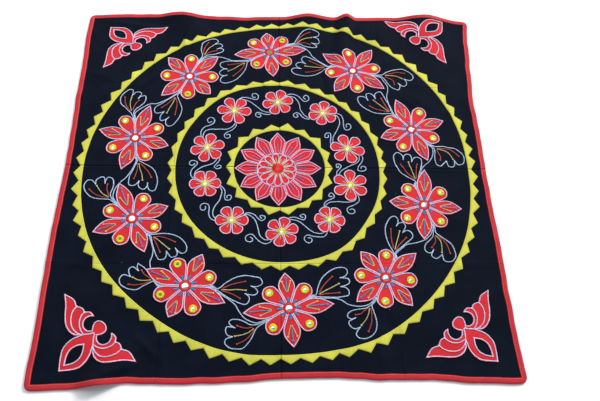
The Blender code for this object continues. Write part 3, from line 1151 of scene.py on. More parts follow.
def thicken(piece, thickness):
    """Give a sheet its thickness, below the surface that it was made with."""
    modifier = piece.modifiers.new("thickness", "SOLIDIFY")
    modifier.thickness = thickness
    modifier.offset = -1.0


def edge_distance(points, loops):
    """Distance of each point from the nearest edge of the loops."""
    nearest = np.full(len(points), np.inf)
    for loop in loops:
        for start, end in zip(loop, np.roll(loop, -1, axis=0)):
            run = end - start
            offset = points - start
            way = np.clip(offset @ run / (run @ run), 0, 1)
            rest = offset - way[:, None] * run
            nearest = np.minimum(nearest, np.hypot(rest[:, 0], rest[:, 1]))
    return nearest


def inside(points, loops):
    """Which points lie inside the loops, counting a loop in a loop as a hole."""
    x, y = points[:, 0], points[:, 1]
    odd = np.zeros(len(points), bool)
    for loop in loops:
        for (x0, y0), (x1, y1) in zip(loop, np.roll(loop, -1, axis=0)):
            if y0 != y1:
                passes = (y0 > y) != (y1 > y)
                odd ^= passes & (x < (x1 - x0) * (y - y0) / (y1 - y0) + x0)
    return odd


def patch_points(loops, cell):
    """Points inside a patch: two rows along its edge and a grid, in mm."""
    arrays = [as_array(loop) for loop in loops]
    found = []
    for depth in EDGE_ROWS:
        row = as_array(point for loop in loops for point in inset(loop, depth))
        keep = inside(row, arrays) & (edge_distance(row, arrays) > depth * 0.9)
        found.append(row[keep])
    low, high = arrays[0].min(axis=0), arrays[0].max(axis=0)
    across = np.arange(low[0] + cell / 2, high[0], cell)
    up = np.arange(low[1] + cell / 2, high[1], cell * GRID_ROW)
    grid = np.array([(x + cell / 2 * (j % 2), y) for j, y in enumerate(up) for x in across])
    grid = grid[inside(grid, arrays)]
    return found + [grid[edge_distance(grid, arrays) > GRID_MARGIN]], arrays


def patch_height(distance):
    """Height of a patch over the cloth at a distance from its edge, in metres."""
    sizes = settings().cloth
    rim = sizes.patch_edge + (sizes.patch_top - sizes.patch_edge) * ease(distance / EDGE_ROWS[-1])
    return rim + sizes.patch_puff * ease((distance - PUFF_START) / PUFF_SLOPE)


def patch(name, outline, holes, material):
    """A patch of cotton with a turned edge, laid on the cloth's folds."""
    sizes = settings().cloth
    loops = [turned(outline)] + [turned(hole, anticlockwise=False) for hole in holes]
    inner, arrays = patch_points(loops, sizes.patch_cell / MM)
    corners, edges = [], []
    for loop in loops:
        first = len(corners)
        corners += [Vector(point) for point in loop]
        edges += [(first + i, first + (i + 1) % len(loop)) for i in range(len(loop))]
    corners += [Vector(point) for rows in inner for point in rows]
    spots, _, faces, *_ = delaunay_2d_cdt(corners, edges, [], 0, 1e-4)
    flat = as_array(spots)
    middles = np.array([flat[list(face)].mean(axis=0) for face in faces])
    kept = [tuple(face) for face, within in zip(faces, inside(middles, arrays)) if within]
    depths = edge_distance(flat, arrays)
    bm = bmesh.new()
    for (x, y), depth in zip(flat * MM, depths):
        place_x, place_y, rise = lie(x, y)
        height = CLOTH_THICKNESS + edge_lift(x, y) + patch_height(depth)
        bm.verts.new((place_x, place_y, rise + height))
    bm.verts.ensure_lookup_table()
    for face in kept:
        bm.faces.new([bm.verts[i] for i in face])
    loose = [vert for vert in bm.verts if not vert.link_faces]
    bmesh.ops.delete(bm, geom=loose, context="VERTS")
    piece = finished(name, bm, material)
    thicken(piece, sizes.patch_cotton)
    return piece


def ground_sheet(material):
    """The ground cloth: one fine sheet on the folds and creases."""
    cells = round(2 * CLOTH_EDGE / settings().cloth.cell)
    bm = bmesh.new()
    bmesh.ops.create_grid(bm, x_segments=cells, y_segments=cells, size=CLOTH_EDGE)
    for vert in bm.verts:
        x, y = vert.co.x, vert.co.y
        place_x, place_y, rise = lie(x, y)
        vert.co = (place_x, place_y, rise + edge_lift(x, y) + CLOTH_THICKNESS)
    piece = finished("ground_sheet", bm, material)
    thicken(piece, CLOTH_THICKNESS)
    return piece


def tape_section():
    """Cross section of the folded tape: inwards from the edge and up, in metres."""
    cotton = settings().cloth.tape_cotton
    low_room = TAPE_ROOM - 0.1 * MM
    high_room = low_room + CLOTH_THICKNESS + 0.3 * MM
    top = high_room + cotton
    bend = 1.6 * MM
    lower_leg = (
        (bend, 0), (TAPE_WIDTH - 0.5 * MM, 0), (TAPE_WIDTH, cotton * 0.5),
        (TAPE_WIDTH - 0.5 * MM, cotton), (bend, cotton + 0.2 * MM),
    )
    inner_bend = ((cotton, top * 0.4), (cotton, high_room - 0.5 * MM))
    upper_leg = (
        (bend, high_room), (TAPE_WIDTH - 0.6 * MM, high_room - 0.1 * MM),
        (TAPE_WIDTH, high_room + 0.05 * MM), (TAPE_WIDTH - 0.4 * MM, top - 0.35 * MM),
        (TAPE_WIDTH - 2.6 * MM, top - 0.3 * MM), (TAPE_WIDTH * 0.5, top + 0.25 * MM),
        (bend, top),
    )
    outer_bend = ((0.5 * MM, top - 0.6 * MM), (0, top * 0.5), (0.5 * MM, 0.6 * MM))
    return lower_leg + inner_bend + upper_leg + outer_bend


def tape_strip(name, side, material):
    """Tape folded over one edge of the cloth, with mitred ends."""
    section = tape_section()
    count = round(SIDE / settings().cloth.tape_station)
    turn = Matrix.Rotation(-side * math.pi / 2, 2)
    bm = bmesh.new()
    rows = []
    for station in range(count + 1):
        row = []
        for inward, height in section:
            reach = HALF - inward
            along = -reach + 2 * reach * station / count
            flat = turn @ Vector((along, reach))
            x, y, rise = lie(flat.x, flat.y)
            row.append(bm.verts.new((x, y, rise + height)))
        rows.append(row)
    for row, following in zip(rows, rows[1:]):
        for i in range(len(section)):
            j = (i + 1) % len(section)
            bm.faces.new((row[i], row[j], following[j], following[i]))
    bm.faces.new(rows[0])
    bm.faces.new(rows[-1])
    bmesh.ops.recalc_face_normals(bm, faces=bm.faces)
    return finished(name, bm, material, sharp=60)


@lru_cache(maxsize=1)
def sewn_surface():
    """The top of the cloth with its patches and tape, for stitches to lie on."""
    corners, faces = [], []
    for piece in bpy.data.collections[COLLECTION].objects:
        if piece.name.endswith(("_sheet", "_patch", "_tape")):
            first = len(corners)
            corners += [vert.co.copy() for vert in piece.data.vertices]
            faces += [[first + i for i in face.vertices] for face in piece.data.polygons]
    return BVHTree.FromPolygons(corners, faces)


def onto_surface(point):
    """Where a point of the flat cloth, in mm, lies on what is sewn there, and the normal."""
    x, y, _ = lie(point[0] * MM, point[1] * MM)
    spot, normal, _, _ = sewn_surface().ray_cast(Vector((x, y, 1)), Vector((0, 0, -1)))
    return spot, normal


def start_tree(name, sizes):
    """A geometry tree with its geometry, size, seed and material sockets."""
    tree = bpy.data.node_groups.new(name, "GeometryNodeTree")
    for socket, kind, subtype in (
        ("Lines", "NodeSocketGeometry", None),
        *((size, "NodeSocketFloat", "DISTANCE") for size in sizes),
        ("Turn", "NodeSocketFloat", "ANGLE"),
        ("Seed", "NodeSocketInt", None),
        ("Floss", "NodeSocketMaterial", None),
    ):
        made = tree.interface.new_socket(name=socket, in_out="INPUT", socket_type=kind)
        if subtype:
            made.subtype = subtype
    tree.interface.new_socket(
        name="Stitches", in_out="OUTPUT", socket_type="NodeSocketGeometry"
    )
    return tree, tree.nodes.new("NodeGroupInput")


def place_stitches(tree, given, stitch):
    """Lay a stitch again and again along the lines, square to the cloth, and end the tree."""
    lines = add_node(tree, "GeometryNodeMeshToCurve", {"Mesh": given.outputs["Lines"]})
    steps = add_node(
        tree, "GeometryNodeResampleCurve",
        {"Curve": lines.outputs["Curve"], "Length": given.outputs["Pitch"]}, mode="LENGTH",
    )
    normal = add_node(
        tree, "GeometryNodeInputNamedAttribute", None, {"Name": "lay"}, data_type="FLOAT_VECTOR"
    )
    tangent = add_node(tree, "GeometryNodeInputTangent")
    square = add_node(
        tree, "FunctionNodeAxesToRotation",
        {"Primary Axis": normal.outputs["Attribute"], "Secondary Axis": tangent.outputs["Tangent"]},
        primary_axis="Z", secondary_axis="X",
    )
    wobble = add_node(
        tree, "FunctionNodeRandomValue", {"Seed": given.outputs["Seed"]},
        data_type="FLOAT_VECTOR",
    )
    wobble.inputs["Min"].default_value, wobble.inputs["Max"].default_value = WOBBLE
    spread = add_node(
        tree, "GeometryNodeInstanceOnPoints",
        {"Points": steps.outputs["Curve"], "Instance": stitch,
         "Rotation": square.outputs["Rotation"], "Scale": wobble.outputs[0]},
    )
    tint = add_node(
        tree, "FunctionNodeRandomValue", {"Seed": given.outputs["Seed"]}, data_type="FLOAT"
    )
    tinted = add_node(
        tree, "GeometryNodeStoreNamedAttribute",
        {"Geometry": spread.outputs["Instances"],
         "Value": next(s for s in tint.outputs if s.type == "VALUE")},
        {"Name": "tint"}, data_type="FLOAT", domain="INSTANCE",
    )
    real = add_node(
        tree, "GeometryNodeRealizeInstances", {"Geometry": tinted.outputs["Geometry"]}
    )
    smooth = add_node(tree, "GeometryNodeSetShadeSmooth", {"Geometry": real.outputs["Geometry"]})
    dyed = add_node(
        tree, "GeometryNodeSetMaterial",
        {"Geometry": smooth.outputs["Geometry"], "Material": given.outputs["Floss"]},
    )
    add_node(tree, "NodeGroupOutput", {"Stitches": dyed.outputs["Geometry"]})


def swept(tree, curve, spot, half_thread, sides, caps):
    """A thread of a few sides along a curve whose points are moved to their spots."""
    shaped = add_node(
        tree, "GeometryNodeSetPosition", {"Geometry": curve, "Position": spot.outputs["Vector"]}
    )
    strand = add_node(
        tree, "GeometryNodeCurvePrimitiveCircle", {"Radius": half_thread.outputs[0]},
        {"Resolution": sides},
    )
    thread = add_node(
        tree, "GeometryNodeCurveToMesh",
        {"Curve": shaped.outputs["Geometry"], "Profile Curve": strand.outputs["Curve"]},
        {"Fill Caps": caps},
    )
    return thread.outputs["Mesh"]


@lru_cache(maxsize=None)
def chain_tree():
    """Chain stitch: each link is a loop of floss that leaves from under the last one."""
    tree, given = start_tree("chain_stitch", ("Pitch", "Length", "Width", "Thread"))
    ring = add_node(
        tree, "GeometryNodeCurveArc", None,
        {"Resolution": LINK_POINTS, "Radius": 1.0,
         "Start Angle": math.radians(-LINK_SWEEP / 2), "Sweep Angle": math.radians(LINK_SWEEP)},
    )
    around = add_node(tree, "GeometryNodeInputPosition")
    parts = add_node(tree, "ShaderNodeSeparateXYZ", {"Vector": around.outputs["Position"]})
    taper = add_node(
        tree, "ShaderNodeMath", {0: parts.outputs["X"]}, LINK_TAPER, operation="MULTIPLY_ADD"
    )
    between = add_node(
        tree, "ShaderNodeMath", {0: given.outputs["Width"], 1: given.outputs["Thread"]},
        operation="SUBTRACT",
    )
    half_width = add_node(
        tree, "ShaderNodeMath", {0: between.outputs[0]}, {1: 0.5}, operation="MULTIPLY"
    )
    half_length = add_node(
        tree, "ShaderNodeMath", {0: given.outputs["Length"]}, {1: 0.5}, operation="MULTIPLY"
    )
    forward = add_node(
        tree, "ShaderNodeMath", {0: parts.outputs["X"], 1: half_length.outputs[0]},
        operation="MULTIPLY",
    )
    narrowed = add_node(
        tree, "ShaderNodeMath", {0: parts.outputs["Y"], 1: taper.outputs[0]}, operation="MULTIPLY"
    )
    sideways = add_node(
        tree, "ShaderNodeMath", {0: narrowed.outputs[0], 1: half_width.outputs[0]},
        operation="MULTIPLY",
    )
    lap = add_node(
        tree, "ShaderNodeMath", {0: parts.outputs["X"]}, LINK_LAP, operation="MULTIPLY_ADD"
    )
    up = add_node(
        tree, "ShaderNodeMath", {0: lap.outputs[0], 1: given.outputs["Thread"]},
        operation="MULTIPLY",
    )
    spot = add_node(
        tree, "ShaderNodeCombineXYZ",
        {"X": forward.outputs[0], "Y": sideways.outputs[0], "Z": up.outputs[0]},
    )
    half_thread = add_node(
        tree, "ShaderNodeMath", {0: given.outputs["Thread"]}, {1: 0.5}, operation="MULTIPLY"
    )
    link = swept(tree, ring.outputs["Curve"], spot, half_thread, sides=3, caps=False)
    place_stitches(tree, given, link)
    return tree


@lru_cache(maxsize=None)
def bar_tree():
    """Single stitches: short arched bars of thread, along the line or turned across it."""
    tree, given = start_tree("bar_stitch", ("Pitch", "Length", "Thread"))
    half_length = add_node(
        tree, "ShaderNodeMath", {0: given.outputs["Length"]}, {1: 0.5}, operation="MULTIPLY"
    )
    half_thread = add_node(
        tree, "ShaderNodeMath", {0: given.outputs["Thread"]}, {1: 0.5}, operation="MULTIPLY"
    )
    arch = add_node(
        tree, "GeometryNodeCurveArc", None,
        {"Resolution": 3, "Radius": 1.0, "Start Angle": math.radians(180),
         "Sweep Angle": math.radians(-180)},
    )
    around = add_node(tree, "GeometryNodeInputPosition")
    parts = add_node(tree, "ShaderNodeSeparateXYZ", {"Vector": around.outputs["Position"]})
    forward = add_node(
        tree, "ShaderNodeMath", {0: parts.outputs["X"], 1: half_length.outputs[0]},
        operation="MULTIPLY",
    )
    up = add_node(
        tree, "ShaderNodeMath", {0: parts.outputs["Y"], 1: half_thread.outputs[0]},
        operation="MULTIPLY",
    )
    spot = add_node(
        tree, "ShaderNodeCombineXYZ", {"X": forward.outputs[0], "Z": up.outputs[0]}
    )
    bar = swept(tree, arch.outputs["Curve"], spot, half_thread, sides=4, caps=True)
    spin = add_node(tree, "ShaderNodeCombineXYZ", {"Z": given.outputs["Turn"]})
    facing = add_node(
        tree, "GeometryNodeTransform", {"Geometry": bar, "Rotation": spin.outputs["Vector"]}
    )
    place_stitches(tree, given, facing.outputs["Geometry"])
    return tree


def stitches(name, lines, tree, sizes, material, lift=0.1, turn=0.0):
    """One piece of stitches along lines on the flat cloth, in mm, by a geometry tree."""
    bm = bmesh.new()
    lay = bm.verts.layers.float_vector.new("lay")
    for line in lines:
        last = None
        for point in line:
            spot, normal = onto_surface(point)
            vert = bm.verts.new(spot + normal * lift * MM)
            vert[lay] = normal
            if last:
                bm.edges.new((last, vert))
            last = vert
    mesh = bpy.data.meshes.new(name + "_lines")
    bm.to_mesh(mesh)
    bm.free()
    guide = link_piece(name + "_lines", mesh)
    modifier = guide.modifiers.new("stitches", "NODES")
    modifier.node_group = tree
    chosen = {**sizes, "Turn": turn, "Seed": settings().stitch.seed, "Floss": material}
    for item in tree.interface.items_tree:
        if item.in_out == "INPUT" and item.name in chosen:
            modifier[item.identifier] = chosen[item.name]
    evaluated = guide.evaluated_get(bpy.context.evaluated_depsgraph_get())
    sewn = bpy.data.meshes.new_from_object(evaluated)
    sewn.name = name
    bpy.data.objects.remove(guide)
    bpy.data.meshes.remove(mesh)
    return link_piece(name, sewn)


def drawn_back(line, cut):
    """A line in mm with a length cut off each end, or nothing if it is too short."""
    for _ in range(2):
        rest = cut
        line = line[::-1]
        while len(line) > 1 and (line[-1] - line[-2]).length <= rest:
            rest -= (line[-1] - line[-2]).length
            line = line[:-1]
        if len(line) < 2:
            return []
        line = line[:-1] + [line[-1] + (line[-2] - line[-1]).normalized() * rest]
    return line


def between_corners(line, cut):
    """The parts of a line between its sharp corners, each drawn back from its ends."""
    parts = [[line[0]]]
    for before, here, after in zip(line, line[1:], line[2:]):
        parts[-1].append(here)
        if (here - before).angle(after - here, 0) > math.radians(SHARP_CORNER):
            parts.append([here])
    parts[-1].append(line[-1])
    return [part for part in (drawn_back(part, cut) for part in parts) if part]


def chain_stitch(name, lines, material):
    """Chain stitch along lines, worked corner to corner."""
    stitch, share = settings().stitch, LINK_SHARE[name]
    sizes = {
        "Pitch": stitch.chain_pitch * share,
        "Length": stitch.link_length * share,
        "Width": stitch.link_width * share,
        "Thread": stitch.floss * share,
    }
    cut = stitch.draw_back / MM * share
    lines = [part for line in lines for part in between_corners(line, cut)]
    sew_on(stitches(name, lines, chain_tree(), sizes, material), "thread")


def machine_stitch(name, lines, material, slot):
    """Single stitches of sewing thread along lines."""
    stitch = settings().stitch
    sizes = {
        "Pitch": stitch.sewing_pitch,
        "Length": stitch.sewing_length,
        "Thread": stitch.sewing_thread,
    }
    sew_on(stitches(name, lines, bar_tree(), sizes, material, lift=0.0), slot)


def circle_line(centre, radius, step=1.5):
    """A closed circle as a line, in mm."""
    count = max(8, math.ceil(math.tau * radius / step))
    return [centre + by_clock(radius, 360 * i / count) for i in range(count + 1)]


def satin(name, lines, material, width, lift):
    """Satin stitch: bars of floss side by side, across the lines, their width in mm."""
    stitch = settings().stitch
    sizes = {"Pitch": stitch.ring_pitch, "Length": width * MM, "Thread": stitch.floss * 1.1}
    turn = math.radians(90)
    sew_on(stitches(name, lines, bar_tree(), sizes, material, lift, turn), "thread")


def thread_ring(name, centres, low, high, material):
    """Satin stitch across circles, from an inner to an outer radius in mm."""
    lines = [circle_line(centre, (low + high) / 2) for centre in centres]
    satin(name, lines, material, high - low, RING_LIFT)


def mirror_discs(name, spots, material):
    """Round pieces of mirror glass, each a centre and a radius in mm."""
    bm = bmesh.new()
    for centre, radius in spots:
        spot, normal = onto_surface(centre)
        made = bmesh.ops.create_cone(
            bm, cap_ends=True, segments=GLASS_SIDES, radius1=radius * MM,
            radius2=radius * MM, depth=GLASS_THICKNESS * MM,
        )
        rim = [e for e in {e for v in made["verts"] for e in v.link_edges}
               if all(v.co.z > 0 for v in e.verts)]
        bevelled = bmesh.ops.bevel(
            bm, geom=rim, offset=GLASS_BEVEL * MM, segments=2, affect="EDGES", profile=0.5
        )
        verts = set(made["verts"]) | set(bevelled["verts"])
        verts = [v for v in verts if v.is_valid]
        place = Matrix.Translation(spot + normal * GLASS_LIFT * MM)
        place = place @ normal.to_track_quat("Z", "Y").to_matrix().to_4x4()
        bmesh.ops.transform(bm, matrix=place, verts=verts)
    return finished(name, bm, material, sharp=50)


def petal_mirrors():
    """Places of the small mirrors on the round petals, with the flower's and petal's number."""
    spots = []
    for number, flower in enumerate(LARGE_FLOWERS, 1):
        for index, petal in enumerate(large_flower_petals(flower)):
            if index % 2:
                spot = on_petal(petal, (petal.reach * PETAL_MIRROR_PLACE, 0))
                spots.append((number, index, spot))
    return spots


def petal_stitch_line(petal, root):
    """The chain stitch round a petal, from the root up one side and down the other."""
    loop = petal_loop(petal.reach, petal.profile, petal.petals, petal.notch, root)
    moved = clear_inset(loop, settings().stitch.inset / MM)
    line = sorted(range(len(moved)), key=lambda i: moved[i].x)
    lowest = {line[0], line[1]}
    start = max(lowest) if max(lowest) - min(lowest) == 1 else min(lowest)
    opened = moved[start:] + moved[:start]
    return [on_petal(petal, point) for point in opened]


def end_knots(name, lines, material):
    """A small satin block at the end of each line, its stitches along the line."""
    width = settings().stitch.knot / MM * KNOT_SHARE[name]
    across = []
    for line in lines:
        side = (line[-1] - line[-2]).orthogonal().normalized() * width / 2
        across.append([line[-1] - side, line[-1], line[-1] + side])
    satin(name, across, material, width, KNOT_LIFT)


def gap_point(along, radius, here, following, arc, gap):
    """A point between two flowers, bent to where both of them are sewn."""
    share = clamp(along / gap, 0.0, 1.0)
    first = clock_of(here)
    second = first + (clock_of(following) - first) % 360
    from_first = first + math.degrees(along / arc)
    from_second = second + math.degrees((along - gap) / arc)
    clock = from_first + (from_second - from_first) * share
    step = (here.length - arc) * (1 - share) + (following.length - arc) * share
    return radius + step, clock


def leaf_point(point, here, following):
    """A point of the leaf sprays between two large flowers, kept inside the ring."""
    radius, clock = gap_point(*point, here, following, LARGE_ARC, LARGE_GAP)
    if radius > LEAF_BASE:
        edge = RINGS[0].inner + ring_offset("ring_outer", clock) - RING_CLEARANCE
        scale = (edge - LEAF_BASE) / (LEAF_TOP - LEAF_BASE)
        radius = LEAF_BASE + (point[1] - LEAF_BASE) * min(1.0, scale)
    return by_clock(radius, clock)


def tendril_point(point, here, following):
    """A point of the tendrils between two small flowers."""
    radius, clock = gap_point(*point, here, following, SMALL_ARC, SMALL_GAP)
    return by_clock(max(radius, TENDRIL_LOW), clock)


def notch_points(flower, index, side):
    """The way out of the notch after a petal, for a spray to grow from; in mm."""
    petal = large_flower_petals(flower)[index]
    clock = petal.clock + 180 / LARGE_PETALS
    along, across = by_clock(1, clock), by_clock(1, clock + 90)
    return [
        petal.centre + along * reach + across * side * spread for reach, spread in SPRAY_START
    ]


@lru_cache(maxsize=1)
def red_loops():
    """Outlines of the large and small flowers."""
    loops = [flower_loop(large_flower_petals(flower)) for flower in LARGE_FLOWERS]
    loops += [flower_loop(small_flower_petals(flower)) for flower in SMALL_FLOWERS]
    return [as_array(loop) for loop in loops]


def off_flowers(line):
    """The parts of a line that lie clear of the flowers."""
    runs = [[]]
    for point, hidden in zip(line, inside(as_array(line), red_loops())):
        if not hidden:
            runs[-1].append(point)
        elif runs[-1]:
            runs.append([])
    return [run for run in runs if len(run) > 2]


def shaky(points, rng, reach):
    """Points moved a little, as a hand draws them; the two ends stay."""
    moved = [Vector(point) for point in points]
    for point in moved[1:-1]:
        point += Vector((rng.uniform(-reach, reach), rng.uniform(-reach, reach)))
    return moved


def neighbours(flowers):
    """Each flower with the next one, clockwise."""
    return zip(flowers, flowers[1:] + flowers[:1])


def ray_reach(index, turn):
    """Length of a ray of the centre flower, a little uneven."""
    return RAY_REACH + RAY_UNEVEN * math.sin(index * 2.1 + turn)


def add_light(row):
    """A soft square light that faces its target."""
    light = bpy.data.lights.new(row.name, "AREA")
    light.shape = "SQUARE"
    light.size = row.size
    light.energy = row.power
    lamp = bpy.data.objects.new(row.name, light)
    lamp.location = row.place
    facing = Vector(row.target) - Vector(row.place)
    lamp.rotation_euler = facing.to_track_quat("-Z", "Y").to_euler()
    bpy.context.scene.collection.objects.link(lamp)


def add_camera():
    """The camera at a standing person's eye, looking down past the lower edge."""
    data = bpy.data.cameras.new("camera")
    data.lens = CAMERA_LENS
    data.sensor_width = CAMERA_SENSOR
    data.sensor_fit = "HORIZONTAL"
    camera = bpy.data.objects.new("camera", data)
    camera.location = CAMERA_PLACE
    camera.rotation_mode = "ZYX"
    camera.rotation_euler = [math.radians(angle) for angle in CAMERA_TILT]
    bpy.context.scene.collection.objects.link(camera)
    bpy.context.scene.camera = camera


class TapestryOperator:
    """What the tapestry's operators share."""

    bl_options = {"REGISTER", "UNDO"}


class TAPESTRY_OT_ground(TapestryOperator, Operator):
    """Lay the blue-black ground cloth in its folds and creases"""

    bl_idname = "tapestry.ground"
    bl_label = "Lay Ground Cloth"

    def execute(self, context):
        sew_on(ground_sheet(ground_cotton()), "ground", "ground_cloth")
        return {"FINISHED"}


class TAPESTRY_OT_binding(TapestryOperator, Operator):
    """Fold red tape over the four edges"""

    bl_idname = "tapestry.binding"
    bl_label = "Bind Edges"

    def execute(self, context):
        tape = tape_cotton()
        for side, word in enumerate(("top", "right", "bottom", "left")):
            sew_on(tape_strip(f"binding_{word}_tape", side, tape), "tape", f"binding_{word}")
        return {"FINISHED"}


class TAPESTRY_OT_rings(TapestryOperator, Operator):
    """Sew on the three yellow sawtooth rings"""

    bl_idname = "tapestry.rings"
    bl_label = "Sew Rings"

    def execute(self, context):
        cotton = lemon_cotton()
        for ring in RINGS:
            outline = broken_line(ring_teeth(ring), TOOTH_STEP)
            hole = ring_inner_edge(ring)
            piece = patch(ring.name + "_patch", outline, [hole], cotton)
            sew_on(piece, "yellow_applique", ring.name)
        return {"FINISHED"}


class TAPESTRY_OT_flowers(TapestryOperator, Operator):
    """Sew on the red flowers: ten large, ten small and the centre one"""

    bl_idname = "tapestry.flowers"
    bl_label = "Sew Flowers"

    def execute(self, context):
        cotton = red_cotton()
        flowers = {}
        for number, flower in enumerate(LARGE_FLOWERS, 1):
            flowers[f"large_flower_{number:02d}"] = large_flower_petals(flower)
        for number, flower in enumerate(SMALL_FLOWERS, 1):
            flowers[f"small_flower_{number:02d}"] = small_flower_petals(flower)
        flowers["centre_flower"] = centre_flower_petals()
        for name, petals in flowers.items():
            piece = patch(name + "_patch", flower_loop(petals), [], cotton)
            sew_on(piece, "red_applique", name)
        return {"FINISHED"}


class TAPESTRY_OT_corners(TapestryOperator, Operator):
    """Sew a winged leaf ornament into each corner"""

    bl_idname = "tapestry.corners"
    bl_label = "Sew Corner Ornaments"

    def execute(self, context):
        cotton = bpy.data.materials["red_cotton"]
        for corner in CORNERS:
            name = "corner_" + corner.name
            outline = in_corner(ornament_loop(), corner)
            eye = in_corner(ornament_eye(), corner)
            sew_on(patch(name + "_patch", outline, [eye], cotton), "red_applique", name)
        return {"FINISHED"}


class TAPESTRY_OT_mirrors(TapestryOperator, Operator):
    """Set the round mirrors"""

    bl_idname = "tapestry.mirrors"
    bl_label = "Set Mirrors"

    def execute(self, context):
        spots = {False: [], True: []}
        nodes = {False: [], True: []}
        for number, flower in enumerate(LARGE_FLOWERS, 1):
            dull = (number, 0) in DULL_MIRRORS
            spots[dull].append((middle(flower), BIG_MIRROR))
            nodes[dull].append(f"large_mirror_{number:02d}")
        for number, flower in enumerate(SMALL_FLOWERS, 1):
            spots[False].append((middle(flower), SMALL_MIRROR))
            nodes[False].append(f"small_mirror_{number:02d}")
        dull = (0, 0) in DULL_MIRRORS
        spots[dull].append((CENTRE_FLOWER, SMALL_MIRROR))
        nodes[dull].append("centre_mirror")
        for number, index, spot in petal_mirrors():
            spots[(number, index) in DULL_MIRRORS].append((spot, SMALL_MIRROR))
        tones = settings().cotton
        for dull, name, glass in (
            # The bright glass's sky-blue colour is a painted reflection of the sky
            (False, "bright_mirrors", mirror_glass("silvered_glass", tones.glass, 0.12)),
            (True, "dull_mirrors", mirror_glass("dull_glass", tones.dull_glass, 0.35)),
        ):
            sew_on(mirror_discs(name, spots[dull], glass), "mirror", *nodes[dull])
        return {"FINISHED"}


class TAPESTRY_OT_thread_rings(TapestryOperator, Operator):
    """Stitch the rings of thread that hold the mirrors"""

    bl_idname = "tapestry.thread_rings"
    bl_label = "Stitch Thread Rings"

    def execute(self, context):
        tones = settings().floss
        scarlet = floss("scarlet_floss", tones.scarlet)
        lemon = floss("lemon_floss", tones.lemon)
        small = [spot for _, _, spot in petal_mirrors()]
        small += [middle(flower) for flower in SMALL_FLOWERS]
        big = [middle(flower) for flower in LARGE_FLOWERS]
        for name, centres, low, high, thread in (
            ("small_thread_rings", small, SMALL_MIRROR - SMALL_OVERLAP, SMALL_THREAD_RING, lemon),
            ("big_thread_rings", big, BIG_MIRROR - BIG_OVERLAP, BIG_THREAD_RING, scarlet),
            ("centre_thread_ring", [CENTRE_FLOWER], SMALL_MIRROR - CENTRE_OVERLAP,
             CENTRE_THREAD_RING, scarlet),
        ):
            thread_ring(name, centres, low, high, thread)
        return {"FINISHED"}


class TAPESTRY_OT_large_embroidery(TapestryOperator, Operator):
    """Embroider the petals of the ten large flowers"""

    bl_idname = "tapestry.large_embroidery"
    bl_label = "Embroider Large Flowers"

    def execute(self, context):
        tones = settings().floss
        outlines, dashes, veins, tan = [], [], [], []
        for flower in LARGE_FLOWERS:
            for index, petal in enumerate(large_flower_petals(flower)):
                outlines.append(petal_stitch_line(petal, LARGE_ROOT))
                dashes.append([on_petal(petal, (forward, 0)) for forward in LARGE_DASH])
                if index % 2 == 0:
                    vein = (*LARGE_VEIN, petal.reach * VEIN_END)
                    veins.append([on_petal(petal, (forward, 0)) for forward in vein])
                    for side in (-1, 1):
                        spots = [(forward, side * across) for forward, across in LARGE_TAN_LINE]
                        tan.append(soft_curve([on_petal(petal, spot) for spot in spots]))
        chain_stitch("large_flower_outlines", outlines, floss("blush_floss", tones.blush))
        blue_floss, tan_floss = floss("blue_floss", tones.blue), floss("tan_floss", tones.tan)
        satin("large_flower_blue_dashes", dashes, blue_floss, DASH_WIDTH, DASH_LIFT)
        chain_stitch("large_flower_blue_veins", veins, blue_floss)
        end_knots("large_flower_blue_knots", veins, blue_floss)
        chain_stitch("large_flower_tan_lines", tan, tan_floss)
        end_knots("large_flower_tan_knots", tan, tan_floss)
        return {"FINISHED"}


class TAPESTRY_OT_leaf_sprays(TapestryOperator, Operator):
    """Embroider the vines and lobed leaves between the large flowers"""

    bl_idname = "tapestry.leaf_sprays"
    bl_label = "Embroider Leaf Sprays"

    def execute(self, context):
        rng = random.Random(settings().stitch.seed)
        tones = settings().floss
        sky, filaments = [], {"tan": [], "rust": []}
        for flower, other in neighbours(LARGE_FLOWERS):
            here, following = middle(flower), middle(other)
            first = [notch_points(flower, 1, side) for side in SPRAY_SIDES]
            last = [notch_points(other, 5, side) for side in SPRAY_SIDES]
            for points, start, end in (
                (OUTER_LEAF[0], first[0], []),
                (OUTER_LEAF[1], [], []),
                (OUTER_LEAF[2], first[1], []),
                (LARGE_VINE, first[2], last[1][::-1]),
                (INNER_LEAF[0], last[2], []),
                (INNER_LEAF[1], [], []),
                (INNER_LEAF[2], last[0], []),
            ):
                drawn = shaky(points, rng, LEAF_SHAKE)
                spots = [leaf_point(point, here, following) for point in drawn]
                sky += off_flowers(soft_curve(start + spots + end))
            for dye, points in OUTER_FILAMENTS + INNER_FILAMENTS:
                drawn = shaky(points, rng, FILAMENT_SHAKE)
                filaments[dye].append(
                    soft_curve([leaf_point(point, here, following) for point in drawn])
                )
        chain_stitch("leaf_spray_outlines", sky, floss("sky_floss", tones.sky))
        floss("rust_floss", tones.rust)
        for dye, lines in filaments.items():
            material = bpy.data.materials[f"{dye}_floss"]
            chain_stitch(f"leaf_spray_{dye}_lines", lines, material)
            end_knots(f"leaf_spray_{dye}_knots", lines, material)
        return {"FINISHED"}


